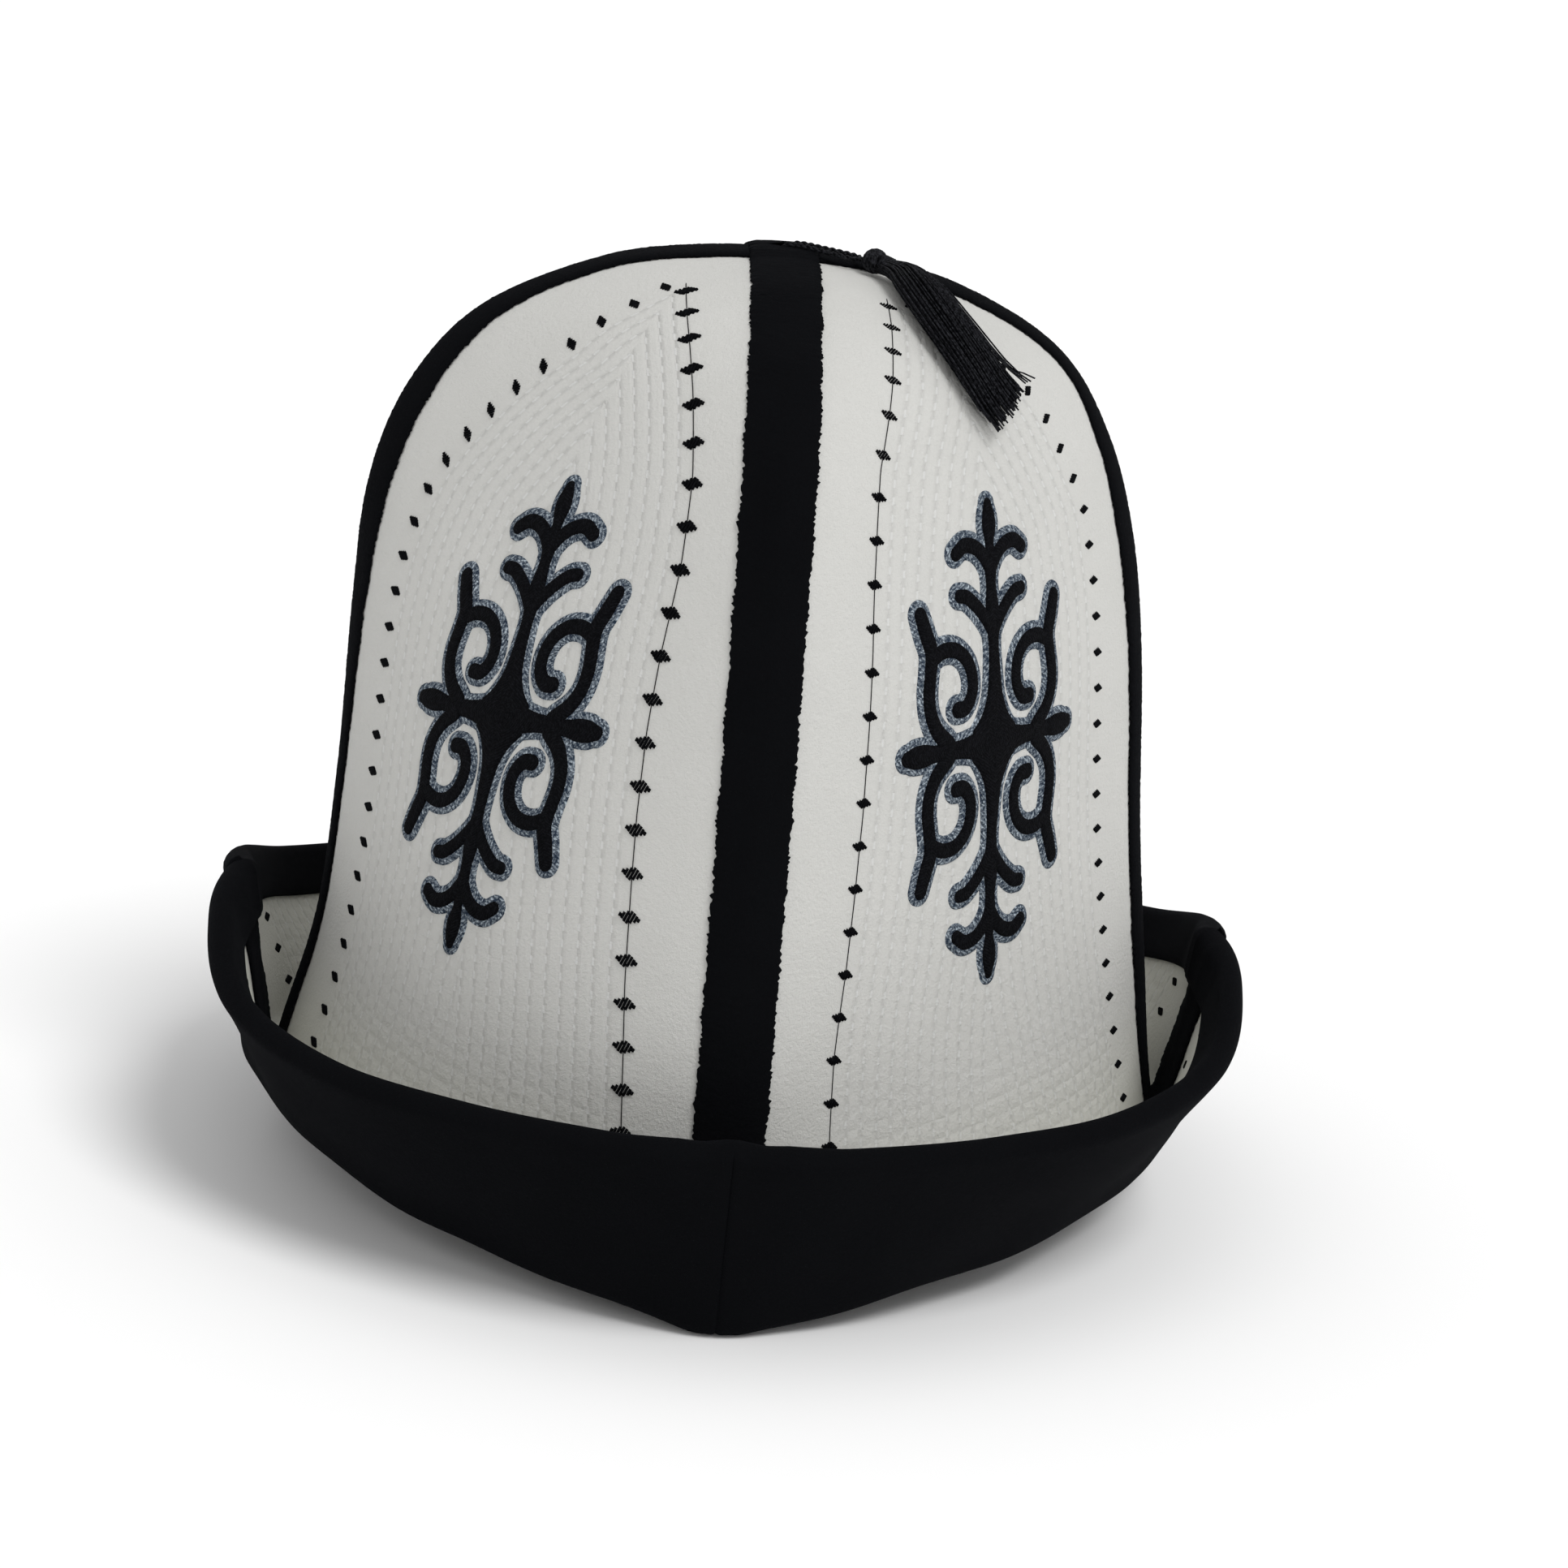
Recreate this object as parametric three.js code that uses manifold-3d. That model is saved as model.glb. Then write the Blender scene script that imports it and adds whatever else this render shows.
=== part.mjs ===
// A kalpak: a tall felt hat of four white panels with a turned-up velvet-faced brim.
// Millimetres, +Z up, the wearer's face towards -Y, Z = 0 where the fold rests.

import * as THREE from "three";
import { mergeVertices } from "three/addons/utils/BufferGeometryUtils.js";
import Module from "manifold-3d";

const wasm = await Module();
wasm.setup();

// Sizes of the whole hat.
const HEIGHT = 206.5;
const HALF_WIDTH = 100;
const HALF_DEPTH = 102;
const GAP = 0.4;

// Cloth.
const FELT = 2.5;
const TAPE = 1.1;
const VELVET = 1.2;
const TAPE_WIDTH = 15;

// The turned-up brim: the curve of the valley where the felt turns, the fold's rise at
// the side seams, the height of the brim along its slope and the velvet strip inside
// the head opening.
const VALLEY = 2.4;
const SIDE_RISE = 16;
const BRIM = 42;
const INSIDE_STRIP = 6;

// Where the hat rests: how far the fold is let down to be pressed flat there, and how
// much of its rise is lost to the settling of its front point and of its back point.
const PRESSED = 1;
const SETTLED_FRONT = 1.1;
const SETTLED_BACK = 3.2;

// Shares of the height of the brim: the hem of velvet carried over the rim, and how
// much of it covers the end of a tape.
const HEM = 0.28;
const TUCK = 0.14;

// Tassel: the doubled cord that holds it, its knot, and the thickness of one lock of
// threads at its fullest.
const CORD = 1.1;
const STRANDS = 4.5;
const HOLE = 3;
const KNOT = 2.7;
const LOCK = 3.6;

const FELT_WHITE = 0xd6d4cb;
const VELVET_BLACK = 0x17171b;
const THREAD_BLACK = 0x0d0d10;

const degrees = Math.PI / 180;
const up = new THREE.Vector3(0, 0, 1);

// Crown sections from the apex down, at even steps of level. up is a share of HEIGHT,
// left and right of HALF_WIDTH, depth of HALF_DEPTH. bendLeft and bendRight are the
// curve of each quarter: 2 is an ellipse, 1 a straight line from seam to seam.
const crown = [
  { up: 1.0, left: 0.0, right: 0.0, depth: 0.0, bendLeft: 1.8, bendRight: 1.8 },
  { up: 0.994, left: 0.19, right: 0.185, depth: 0.19, bendLeft: 1.7, bendRight: 1.75 },
  { up: 0.975, left: 0.395, right: 0.385, depth: 0.38, bendLeft: 1.5, bendRight: 1.7 },
  { up: 0.918, left: 0.635, right: 0.61, depth: 0.61, bendLeft: 1.25, bendRight: 1.6 },
  { up: 0.832, left: 0.78, right: 0.735, depth: 0.77, bendLeft: 1.16, bendRight: 1.35 },
  { up: 0.725, left: 0.855, right: 0.81, depth: 0.865, bendLeft: 1.18, bendRight: 1.26 },
  { up: 0.594, left: 0.875, right: 0.855, depth: 0.915, bendLeft: 1.32, bendRight: 1.28 },
  { up: 0.413, left: 0.885, right: 0.89, depth: 0.945, bendLeft: 1.5, bendRight: 1.29 },
  { up: 0.252, left: 0.91, right: 0.935, depth: 0.97, bendLeft: 1.58, bendRight: 1.3 },
  { up: 0.12, left: 0.975, right: 0.975, depth: 0.99, bendLeft: 1.58, bendRight: 1.46 },
  { up: 0.0, left: 1.035, right: 1.035, depth: 1.01, bendLeft: 1.58, bendRight: 1.68 },
];

// A quarter of the brim from a front or back seam (0) to a side seam (90). rise is a
// share of SIDE_RISE, height of BRIM, and lean is the slope outwards in degrees.
const brim = [
  { rise: 0.0, height: 1.0, lean: 20 },
  { rise: 0.24, height: 0.93, lean: 24 },
  { rise: 0.45, height: 0.87, lean: 30 },
  { rise: 0.58, height: 0.86, lean: 35 },
  { rise: 0.73, height: 0.88, lean: 33 },
  { rise: 0.92, height: 0.89, lean: 19 },
  { rise: 1.0, height: 0.89, lean: 8 },
];

// The line of the tassel over the crown, from its knot to its tip.
const tasselLine = [
  { angle: 60, level: 0.12 },
  { angle: 54, level: 0.152 },
  { angle: 46, level: 0.188 },
  { angle: 41.5, level: 0.238 },
  { angle: 40.8, level: 0.286 },
  { angle: 43.5, level: 0.334 },
  { angle: 49, level: 0.38 },
];

// Down one lock of threads: spread is the half-width of the tassel in millimetres,
// full a share of LOCK.
const lockShape = [
  { spread: 0.4, full: 0.6 },
  { spread: 2.0, full: 0.8 },
  { spread: 3.1, full: 0.95 },
  { spread: 3.8, full: 1.0 },
  { spread: 4.3, full: 1.0 },
  { spread: 4.7, full: 0.95 },
  { spread: 5.0, full: 0.8 },
];

// The locks: aside is a share of the spread, layer how many locks deep it lies, reach
// how far down the line it ends and stout its thickness as a share of the others'. The
// first one is the core that the others lie against.
const locks = [
  { aside: 0, layer: 0.5, reach: 0.9, stout: 1.5 },
  { aside: -1.0, layer: 0, reach: 0.93, stout: 1 },
  { aside: -0.35, layer: 0, reach: 0.98, stout: 1 },
  { aside: 0.35, layer: 0, reach: 1.0, stout: 1 },
  { aside: 1.0, layer: 0, reach: 0.95, stout: 1 },
  { aside: -0.6, layer: 1, reach: 0.96, stout: 1 },
  { aside: 0.6, layer: 1, reach: 0.97, stout: 1 },
];

// The value of a column of a table at a place from 0 to 1, on a smooth curve.
function smooth(table, column, place) {
  const steps = table.length - 1;
  const at = Math.min(Math.max(place, 0), 1) * steps;
  const i = Math.min(Math.floor(at), steps - 1);
  const f = at - i;
  const p1 = table[i][column];
  const p2 = table[i + 1][column];
  const p0 = i > 0 ? table[i - 1][column] : 2 * p1 - p2;
  const p3 = i + 2 <= steps ? table[i + 2][column] : 2 * p2 - p1;
  const bend = 2 * p0 - 5 * p1 + 4 * p2 - p3;
  const twist = -p0 + 3 * p1 - 3 * p2 + p3;
  return p1 + 0.5 * f * (p2 - p0 + f * (bend + f * twist));
}

// How far round its quarter an angle is: 0 at the front or back seam, 1 at a side.
function quarterShare(angle) {
  const turned = ((angle % 180) + 180) % 180;
  return Math.min(turned, 180 - turned) / 90;
}

// Height of the middle of the valley's curve at an angle, over the resting face.
function valleyHeight(angle) {
  const rise = smooth(brim, "rise", quarterShare(angle)) * SIDE_RISE;
  const settled = Math.cos(angle * degrees) > 0 ? SETTLED_FRONT : SETTLED_BACK;
  const lost = settled * (1 - quarterShare(angle));
  return Math.max(rise - lost, 0) + VALLEY + FELT + GAP + VELVET - PRESSED;
}

// The level at which the crown comes down to a height.
function levelAt(height) {
  let low = 0;
  let high = 1;
  for (let i = 0; i < 40; i += 1) {
    const middle = (low + high) / 2;
    if (smooth(crown, "up", middle) * HEIGHT > height) {
      low = middle;
    } else {
      high = middle;
    }
  }
  return low;
}

// The white face of the crown at an angle round it (0 front, 90 right) and a level.
function section(angle, level) {
  const side = Math.sin(angle * degrees);
  const fore = Math.cos(angle * degrees);
  const column = side < 0 ? "left" : "right";
  const power = 2 / smooth(crown, side < 0 ? "bendLeft" : "bendRight", level);
  const x = smooth(crown, column, level) * HALF_WIDTH * Math.abs(side) ** power;
  const y = smooth(crown, "depth", level) * HALF_DEPTH * Math.abs(fore) ** power;
  const z = smooth(crown, "up", level) * HEIGHT;
  return new THREE.Vector3(Math.sign(side) * x, -Math.sign(fore) * y, z);
}

// The white face anywhere: part 0 to 1 goes down the crown, 1 to 2 round the valley
// and 2 to 3 up the inside of the brim.
function whiteFace(angle, part) {
  const foot = levelAt(valleyHeight(angle));
  if (part <= 1) {
    return section(angle, foot * part);
  }
  const share = quarterShare(angle);
  const lean = smooth(brim, "lean", share) * degrees;
  const start = section(angle, foot);
  const along = section(angle + 0.05, foot).sub(section(angle - 0.05, foot));
  const out = new THREE.Vector3(-along.y, along.x, 0).normalize().negate();
  const down = section(angle, foot + 0.01).sub(start);
  const slope = Math.atan2(down.dot(out), -down.z);
  const turned = slope + (Math.PI - slope - lean) * Math.min(part - 1, 1);
  const centre = start
    .addScaledVector(out, VALLEY * Math.cos(slope))
    .addScaledVector(up, VALLEY * Math.sin(slope));
  const place = centre
    .addScaledVector(out, -VALLEY * Math.cos(turned))
    .addScaledVector(up, -VALLEY * Math.sin(turned));
  const climbed = Math.max(part - 2, 0) * BRIM * smooth(brim, "height", share);
  return place
    .addScaledVector(out, climbed * Math.sin(lean))
    .addScaledVector(up, climbed * Math.cos(lean));
}

// The direction square to the white face, out of the felt.
function faceNormal(angle, part) {
  if (part < 0.002) {
    return up.clone();
  }
  const round = whiteFace(angle + 0.05, part).sub(whiteFace(angle - 0.05, part));
  const forth = whiteFace(angle, part + 0.001).sub(whiteFace(angle, part - 0.001));
  const normal = forth.cross(round).normalize();
  const seam = Math.round(angle / 90);
  if (Math.abs(angle - 90 * seam) < 1e-6) {
    normal.setComponent(seam % 2 === 0 ? 0 : 1, 0);
    normal.normalize();
  }
  return normal;
}

// A point at a distance off the white face, pressed flat where it would go lower
// than floor.
function offFace(angle, part, distance, floor) {
  const place = whiteFace(angle, part);
  place.addScaledVector(faceNormal(angle, part), distance);
  place.z = Math.max(place.z, floor);
  return place;
}

function meshOf(name, geometry, colour) {
  const material = new THREE.MeshStandardMaterial({
    color: colour,
    roughness: 0.95,
    metalness: 0,
  });
  const mesh = new THREE.Mesh(geometry, material);
  mesh.name = name;
  return mesh;
}

// A closed sheet between two grids of points, face on top and back below it. From the
// row called over, the sheet comes back down beside itself, so the diagonals of its
// quads turn the other way and lie along the ones that they face.
function sheetGeometry(face, back, over = Infinity) {
  const corners = [];
  const quad = (a, b, c, d) => corners.push(a, b, c, a, c, d);
  const last = face.length - 1;
  const end = face[0].length - 1;
  for (let i = 0; i < last; i += 1) {
    for (let j = 0; j < end; j += 1) {
      const k = j + 1;
      if (i < over) {
        quad(face[i][j], face[i + 1][j], face[i + 1][k], face[i][k]);
        quad(back[i][j], back[i][k], back[i + 1][k], back[i + 1][j]);
      } else {
        quad(face[i + 1][j], face[i + 1][k], face[i][k], face[i][j]);
        quad(back[i][k], back[i + 1][k], back[i + 1][j], back[i][j]);
      }
    }
    quad(face[i][0], back[i][0], back[i + 1][0], face[i + 1][0]);
    quad(face[i][end], face[i + 1][end], back[i + 1][end], back[i][end]);
  }
  for (let j = 0; j < end; j += 1) {
    quad(face[0][j], face[0][j + 1], back[0][j + 1], back[0][j]);
    quad(face[last][j], back[last][j], back[last][j + 1], face[last][j + 1]);
  }
  return closed(corners);
}

// Triangles from a list of corners, without the ones that have no area.
function closed(corners) {
  const kept = [];
  for (let i = 0; i < corners.length; i += 3) {
    const [a, b, c] = corners.slice(i, i + 3);
    const shortest = Math.min(a.distanceTo(b), b.distanceTo(c), c.distanceTo(a));
    if (shortest > 1e-3) {
      kept.push(a, b, c);
    }
  }
  const geometry = new THREE.BufferGeometry().setFromPoints(kept);
  const merged = mergeVertices(geometry, 1e-4);
  merged.computeVertexNormals();
  return merged;
}

// Where a panel, a tape and the facing have their rows: down the crown, round the
// valley and up the brim, with one row at the edge of the strip inside the opening.
const crownRows = 12;
const stripEdge = 1 - INSIDE_STRIP / HEIGHT;
const valleyRows = [1, 1.22, 1.42, 1.62, 1.82];
const brimRows = [2, 2.36, 3 - HEM];

// Rows from the hole at the apex to a last place on the brim.
function stations(last) {
  const first = HOLE / 2 / HALF_WIDTH;
  const parts = [];
  for (let i = 0; i < crownRows; i += 1) {
    parts.push(first + ((1 - first) * i) / crownRows);
  }
  return [...parts, stripEdge, ...valleyRows, ...brimRows, last];
}

// Angles of the columns of one quarter, closer together beside the seams, where the
// hem rises over the edge of a tape.
const tapeEdge = besideSeam(0, TAPE_WIDTH / 2, 2);
const nearSeam = [0, 0.52 * tapeEdge, tapeEdge, 1.9 * tapeEdge];
const middles = [20, 29, 38, 47, 56, 64, 71];
const nearSide = nearSeam.map((angle) => 90 - angle).reverse();
const columns = [...nearSeam, ...middles, ...nearSide];

// One felt panel: the quarter of the crown and brim that starts at an angle. Its
// first and last columns run half a gap from the seams, square to them.
function panel(name, first) {
  const floor = VELVET + GAP;
  const parts = stations(3);
  const grid = (distance) =>
    parts.map((part) => {
      const start = besideSeam(first, GAP / 2, part);
      const end = besideSeam(first + 90, -GAP / 2, part);
      return columns.map((column) => {
        const angle = start + ((end - start) * column) / 90;
        const facing = column % 90 === 0 ? first + column : angle;
        const place = whiteFace(angle, part);
        place.addScaledVector(faceNormal(facing, part), distance);
        place.z = Math.max(place.z, floor);
        return place;
      });
    });
  return meshOf(name, sheetGeometry(grid(0), grid(-FELT)), FELT_WHITE);
}

// The angle that lies a distance beside a seam, measured square to the seam.
function besideSeam(seam, distance, part) {
  const foot = levelAt(valleyHeight(seam));
  const level = foot * Math.min(part, 1);
  const overSide = seam % 180 !== 0;
  const across = Math.sin((seam + Math.sign(distance)) * degrees) < 0 ? "left" : "right";
  const side = overSide ? "depth" : across;
  const unit = overSide ? HALF_DEPTH : HALF_WIDTH;
  const reach = smooth(crown, side, level) * unit;
  const leftSide = overSide ? seam > 180 : side === "left";
  const power = smooth(crown, leftSide ? "bendLeft" : "bendRight", level) / 2;
  const turn = Math.asin(Math.min(Math.abs(distance) / reach, 1) ** power);
  return seam + (Math.sign(distance) * turn) / degrees;
}

// A velvet tape over one seam, from a mitred point at the apex to under the hem.
function tape(name, seam) {
  const parts = stations(3 - HEM + TUCK);
  const across = [-1, -0.4, 0, 0.4, 1];
  const grid = (distance) =>
    parts.map((part) => {
      const reach = section(seam, levelAt(valleyHeight(seam)) * Math.min(part, 1));
      const radius = Math.max(Math.abs(reach.x), Math.abs(reach.y));
      const half = Math.min(TAPE_WIDTH / 2, 0.65 * radius - GAP);
      return across.map((share) =>
        offFace(besideSeam(seam, share * half, part), part, distance, 0),
      );
    });
  return meshOf(name, sheetGeometry(grid(GAP + TAPE), grid(GAP)), VELVET_BLACK);
}

// How much the hem stands up where it covers the end of a tape.
function overTape(angle) {
  const nearest = Math.abs(angle - 90 * Math.round(angle / 90)) / tapeEdge;
  const share = THREE.MathUtils.clamp((1.9 - nearest) / 0.9, 0, 1);
  return share * (TAPE + GAP);
}

// A quarter of the velvet facing: from just inside the head opening, round the fold,
// up the outside of the brim, over the rim and down its inside to the edge of the hem.
function facing(name, first) {
  const start = besideSeam(first, GAP / 2, 2);
  const end = besideSeam(first + 90, -GAP / 2, 2);
  const upTo = [stripEdge, ...valleyRows, ...brimRows];
  const atRim = upTo.length;
  const under = FELT + GAP;
  const rim = -FELT / 2;
  const grid = (outer) => {
    const floor = outer ? 0 : VELVET;
    const away = outer ? VELVET : 0;
    const rows = [];
    const row = (spot) =>
      rows.push(
        columns.map((column) => {
          const angle = start + ((end - start) * column) / 90;
          const facing = column % 90 === 0 ? first + column : angle;
          const height = BRIM * smooth(brim, "height", quarterShare(angle));
          const [part, distance] = spot(angle, height);
          const place = whiteFace(angle, part);
          place.addScaledVector(faceNormal(facing, part), distance);
          place.z = Math.max(place.z, floor);
          return place;
        }),
      );
    for (const part of upTo) {
      row(() => [part, -under - away]);
    }
    for (const turn of [0, 60, 120, 180]) {
      row((angle, height) => {
        const lift = overTape(angle) / 2;
        const radius = FELT / 2 + GAP + away + lift;
        const distance = rim + lift - radius * Math.cos(turn * degrees);
        const climb = (FELT / 2 + GAP + away) * Math.sin(turn * degrees);
        return [3 + climb / height, distance];
      });
    }
    row((angle) => [3 - HEM, overTape(angle) + GAP + away]);
    return rows;
  };
  const geometry = sheetGeometry(grid(false), grid(true), atRim);
  return meshOf(name, geometry, VELVET_BLACK);
}

// A point over the crown's white face.
function overCrown(angle, level, lift) {
  const part = level / levelAt(valleyHeight(angle));
  return section(angle, level).addScaledVector(faceNormal(angle, part), lift);
}

// A point over the crown beside the apex, where the crown is a shallow bowl.
function overApex(x, y, lift) {
  const drop = (1 - crown[1].up) * HEIGHT;
  const reach = crown[1].left * HALF_WIDTH;
  const down = (drop * (x * x + y * y)) / (reach * reach);
  return new THREE.Vector3(x, y, HEIGHT - down + lift);
}

// The middle of the tassel's knot.
const knotAt = overCrown(tasselLine[0].angle, tasselLine[0].level, KNOT + GAP);

// The free cord: out of the hole at the apex, over the side tape to the knot, round a
// tight turn and back into the hole beside itself.
function tasselCord() {
  const lift = GAP + TAPE + GAP + CORD / 2;
  const reach = Math.hypot(knotAt.x, knotAt.y) - KNOT - GAP - CORD / 2;
  const ahead = new THREE.Vector2(knotAt.x, knotAt.y).normalize();
  const half = STRANDS / 2;
  const place = (along, aside, height) => {
    const x = ahead.x * along - ahead.y * aside;
    const y = ahead.y * along + ahead.x * aside;
    return overApex(x, y, height);
  };
  const turn = reach - half;
  const bend = half;
  const eighth = Math.SQRT1_2;
  const lane = HOLE / 2;
  const strand = (side) => [
    place(0, side * lane, -FELT),
    place(0, side * lane, lift - bend),
    place(bend * (1 - eighth), side * lane, lift - bend * (1 - eighth)),
    place(bend, side * lane, lift),
    place(turn * 0.6, side * (lane + half) * 0.5, lift),
    place(turn, side * half, lift),
    place(turn + half * eighth, side * half * eighth, lift),
  ];
  const points = [...strand(-1), place(reach, 0, lift), ...strand(1).reverse()];
  const circle = new THREE.Shape();
  circle.absarc(0, 0, CORD / 2, 0, 2 * Math.PI, false);
  const geometry = new THREE.ExtrudeGeometry(circle, {
    steps: 34,
    curveSegments: 4,
    bevelEnabled: false,
    extrudePath: new THREE.CatmullRomCurve3(points, false, "centripetal"),
  });
  return meshOf("tassel_cord", geometry, THREAD_BLACK);
}

// One lock of threads, a soft five-sided strand along the tassel's line.
function lockGeometry(lock) {
  const rows = 7;
  const sides = 5;
  const rings = [];
  for (let i = 0; i <= rows; i += 1) {
    const down = (lock.reach * i) / rows;
    const angle = smooth(tasselLine, "angle", down);
    const level = smooth(tasselLine, "level", down);
    const thread = (smooth(lockShape, "full", down) * LOCK) / 2;
    const radius = thread * lock.stout;
    const aside = smooth(lockShape, "spread", down) * lock.aside;
    const settle = Math.min(down * 3, 1);
    const resting = radius + 1.5 * GAP + lock.layer * thread * 1.3;
    const lift = THREE.MathUtils.lerp(KNOT + GAP, resting, settle);
    const middle = overCrown(angle, level, lift);
    const outwards = overCrown(angle, level, lift + 1).sub(middle);
    const next = overCrown(
      smooth(tasselLine, "angle", down + 0.02) + (down > 0.97 ? 0.6 : 0),
      smooth(tasselLine, "level", down + 0.02) + (down > 0.97 ? 0.005 : 0),
      lift,
    );
    const sideways = next.sub(middle).cross(outwards).normalize();
    middle.addScaledVector(sideways, aside);
    const ring = [];
    for (let k = 0; k < sides; k += 1) {
      const turned = (2 * Math.PI * k) / sides;
      const corner = middle.clone();
      corner.addScaledVector(sideways, radius * Math.cos(turned));
      corner.addScaledVector(outwards, radius * Math.sin(turned));
      ring.push(corner);
    }
    rings.push(ring);
  }
  const corners = [];
  for (let i = 0; i < rows; i += 1) {
    for (let k = 0; k < sides; k += 1) {
      const n = (k + 1) % sides;
      corners.push(rings[i][k], rings[i + 1][n], rings[i][n]);
      corners.push(rings[i][k], rings[i + 1][k], rings[i + 1][n]);
    }
  }
  for (let k = 1; k < sides - 1; k += 1) {
    corners.push(rings[0][0], rings[0][k], rings[0][k + 1]);
    corners.push(rings[rows][0], rings[rows][k + 1], rings[rows][k]);
  }
  return closed(corners);
}

function solidOf(geometry) {
  const bare = geometry.clone();
  bare.deleteAttribute("normal");
  bare.deleteAttribute("uv");
  const merged = mergeVertices(bare, 1e-4);
  return new wasm.Manifold(
    new wasm.Mesh({
      numProp: 3,
      vertProperties: merged.attributes.position.array,
      triVerts: new Uint32Array(merged.index.array),
    }),
  );
}

// The tassel: a knot and its locks of threads, joined in one piece. The largest shell
// is its outside; any others are hollows between the locks, and they are filled.
function tassel() {
  const knot = new THREE.IcosahedronGeometry(KNOT, 1);
  knot.translate(knotAt.x, knotAt.y, knotAt.z);
  let whole = solidOf(knot);
  for (const lock of locks) {
    whole = whole.add(solidOf(lockGeometry(lock)));
  }
  const shells = whole.decompose();
  const outer = shells.reduce((a, b) => (a.volume() > b.volume() ? a : b));
  const made = outer.getMesh();
  const geometry = new THREE.BufferGeometry();
  const places = new THREE.BufferAttribute(made.vertProperties, made.numProp);
  geometry.setAttribute("position", places);
  geometry.setIndex(new THREE.BufferAttribute(made.triVerts, 1));
  geometry.computeVertexNormals();
  return meshOf("tassel", geometry, THREAD_BLACK);
}

const hat = new THREE.Group();
hat.name = "kalpak";
hat.add(panel("panel_front_right", 0));
hat.add(panel("panel_back_right", 90));
hat.add(panel("panel_back_left", 180));
hat.add(panel("panel_front_left", 270));
hat.add(tape("tape_front", 0));
hat.add(tape("tape_right", 90));
hat.add(tape("tape_back", 180));
hat.add(tape("tape_left", 270));
hat.add(facing("facing_front_right", 0));
hat.add(facing("facing_back_right", 90));
hat.add(facing("facing_back_left", 180));
hat.add(facing("facing_front_left", 270));
hat.add(tasselCord());
hat.add(tassel());

export default hat;
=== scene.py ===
# %% [markdown]
# # A felt kalpak
# The imported model gives the hat's frame: where each panel, tape and thread lies. It is
# loaded first, and every piece made here lies on it. Cloth may stand proud of it by a
# few millimetres and no more.

# %% Load the frame
import math

import bmesh
import bpy
import numpy as np
from mathutils import Matrix, Vector


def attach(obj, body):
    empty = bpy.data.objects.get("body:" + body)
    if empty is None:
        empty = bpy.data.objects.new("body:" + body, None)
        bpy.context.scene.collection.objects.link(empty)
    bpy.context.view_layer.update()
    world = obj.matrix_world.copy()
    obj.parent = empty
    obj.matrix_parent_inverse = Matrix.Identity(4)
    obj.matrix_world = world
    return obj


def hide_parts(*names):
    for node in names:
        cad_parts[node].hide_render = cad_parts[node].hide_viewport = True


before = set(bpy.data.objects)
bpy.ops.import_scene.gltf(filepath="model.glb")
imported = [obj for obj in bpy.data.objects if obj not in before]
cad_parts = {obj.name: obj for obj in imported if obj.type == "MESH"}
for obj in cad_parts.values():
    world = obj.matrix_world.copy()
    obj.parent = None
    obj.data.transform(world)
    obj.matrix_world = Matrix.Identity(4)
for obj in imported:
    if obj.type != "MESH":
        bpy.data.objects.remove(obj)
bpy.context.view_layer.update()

scene = bpy.context.scene
MM = 0.001
print("nodes", len(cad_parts))

# %% [markdown]
# ## The camera
# The hat is seen from a little above its brim and a little to the left of its front
# seam, and the picture is tilted, so that the hat leans to the right in it. A long lens
# keeps the near brim from swelling. The tilt is a roll of the camera about its own line
# of sight, and the hat itself stays upright on its fold.

# %% Camera
AZIMUTH, ELEVATION, ROLL = math.radians(-2.3), math.radians(13.5), math.radians(4.75)
TARGET = Vector((0, 0, 0.115))
DISTANCE = 0.95

backwards = Vector((
    math.sin(AZIMUTH) * math.cos(ELEVATION),
    -math.cos(AZIMUTH) * math.cos(ELEVATION),
    math.sin(ELEVATION),
))
level_right = Vector((0, 0, 1)).cross(backwards).normalized()
level_up = backwards.cross(level_right)
camera_up = level_up * math.cos(ROLL) - level_right * math.sin(ROLL)
camera_right = level_right * math.cos(ROLL) + level_up * math.sin(ROLL)

camera_data = bpy.data.cameras.new("camera")
camera_data.sensor_width = 36
camera_data.lens = 98.35
camera_data.shift_x = 0.022
camera_data.shift_y = -0.0776
camera_data.clip_start = 0.01
camera_data.clip_end = 20
camera = bpy.data.objects.new("camera", camera_data)
turn = Matrix((camera_right, camera_up, backwards)).transposed().to_4x4()
camera.matrix_world = Matrix.Translation(TARGET + backwards * DISTANCE) @ turn
scene.collection.objects.link(camera)
scene.camera = camera
print("camera at", [round(x, 3) for x in camera.matrix_world.translation])

# %% [markdown]
# ## The shape of the hat
# All the cloth of a kalpak lies on one surface: the white face of the felt. It comes
# down the crown, turns through a tight valley and climbs the inside of the brim. The
# frame's source draws that face from two short tables, and the same tables are read
# here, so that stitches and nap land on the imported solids. Working with whole arrays
# of points at once keeps this quick.

# %% Sizes in millimetres and the two tables
HEIGHT, HALF_WIDTH, HALF_DEPTH = 206.5, 100.0, 102.0
GAP, FELT, TAPE, VELVET, TAPE_WIDTH = 0.4, 2.5, 1.1, 1.2, 15.0
VALLEY, SIDE_RISE, BRIM, INSIDE_STRIP = 2.4, 16.0, 42.0, 6.0
PRESSED, SETTLED_FRONT, SETTLED_BACK = 1.0, 1.1, 3.2
HEM, TUCK, HOLE = 0.28, 0.14, 3.0

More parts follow.
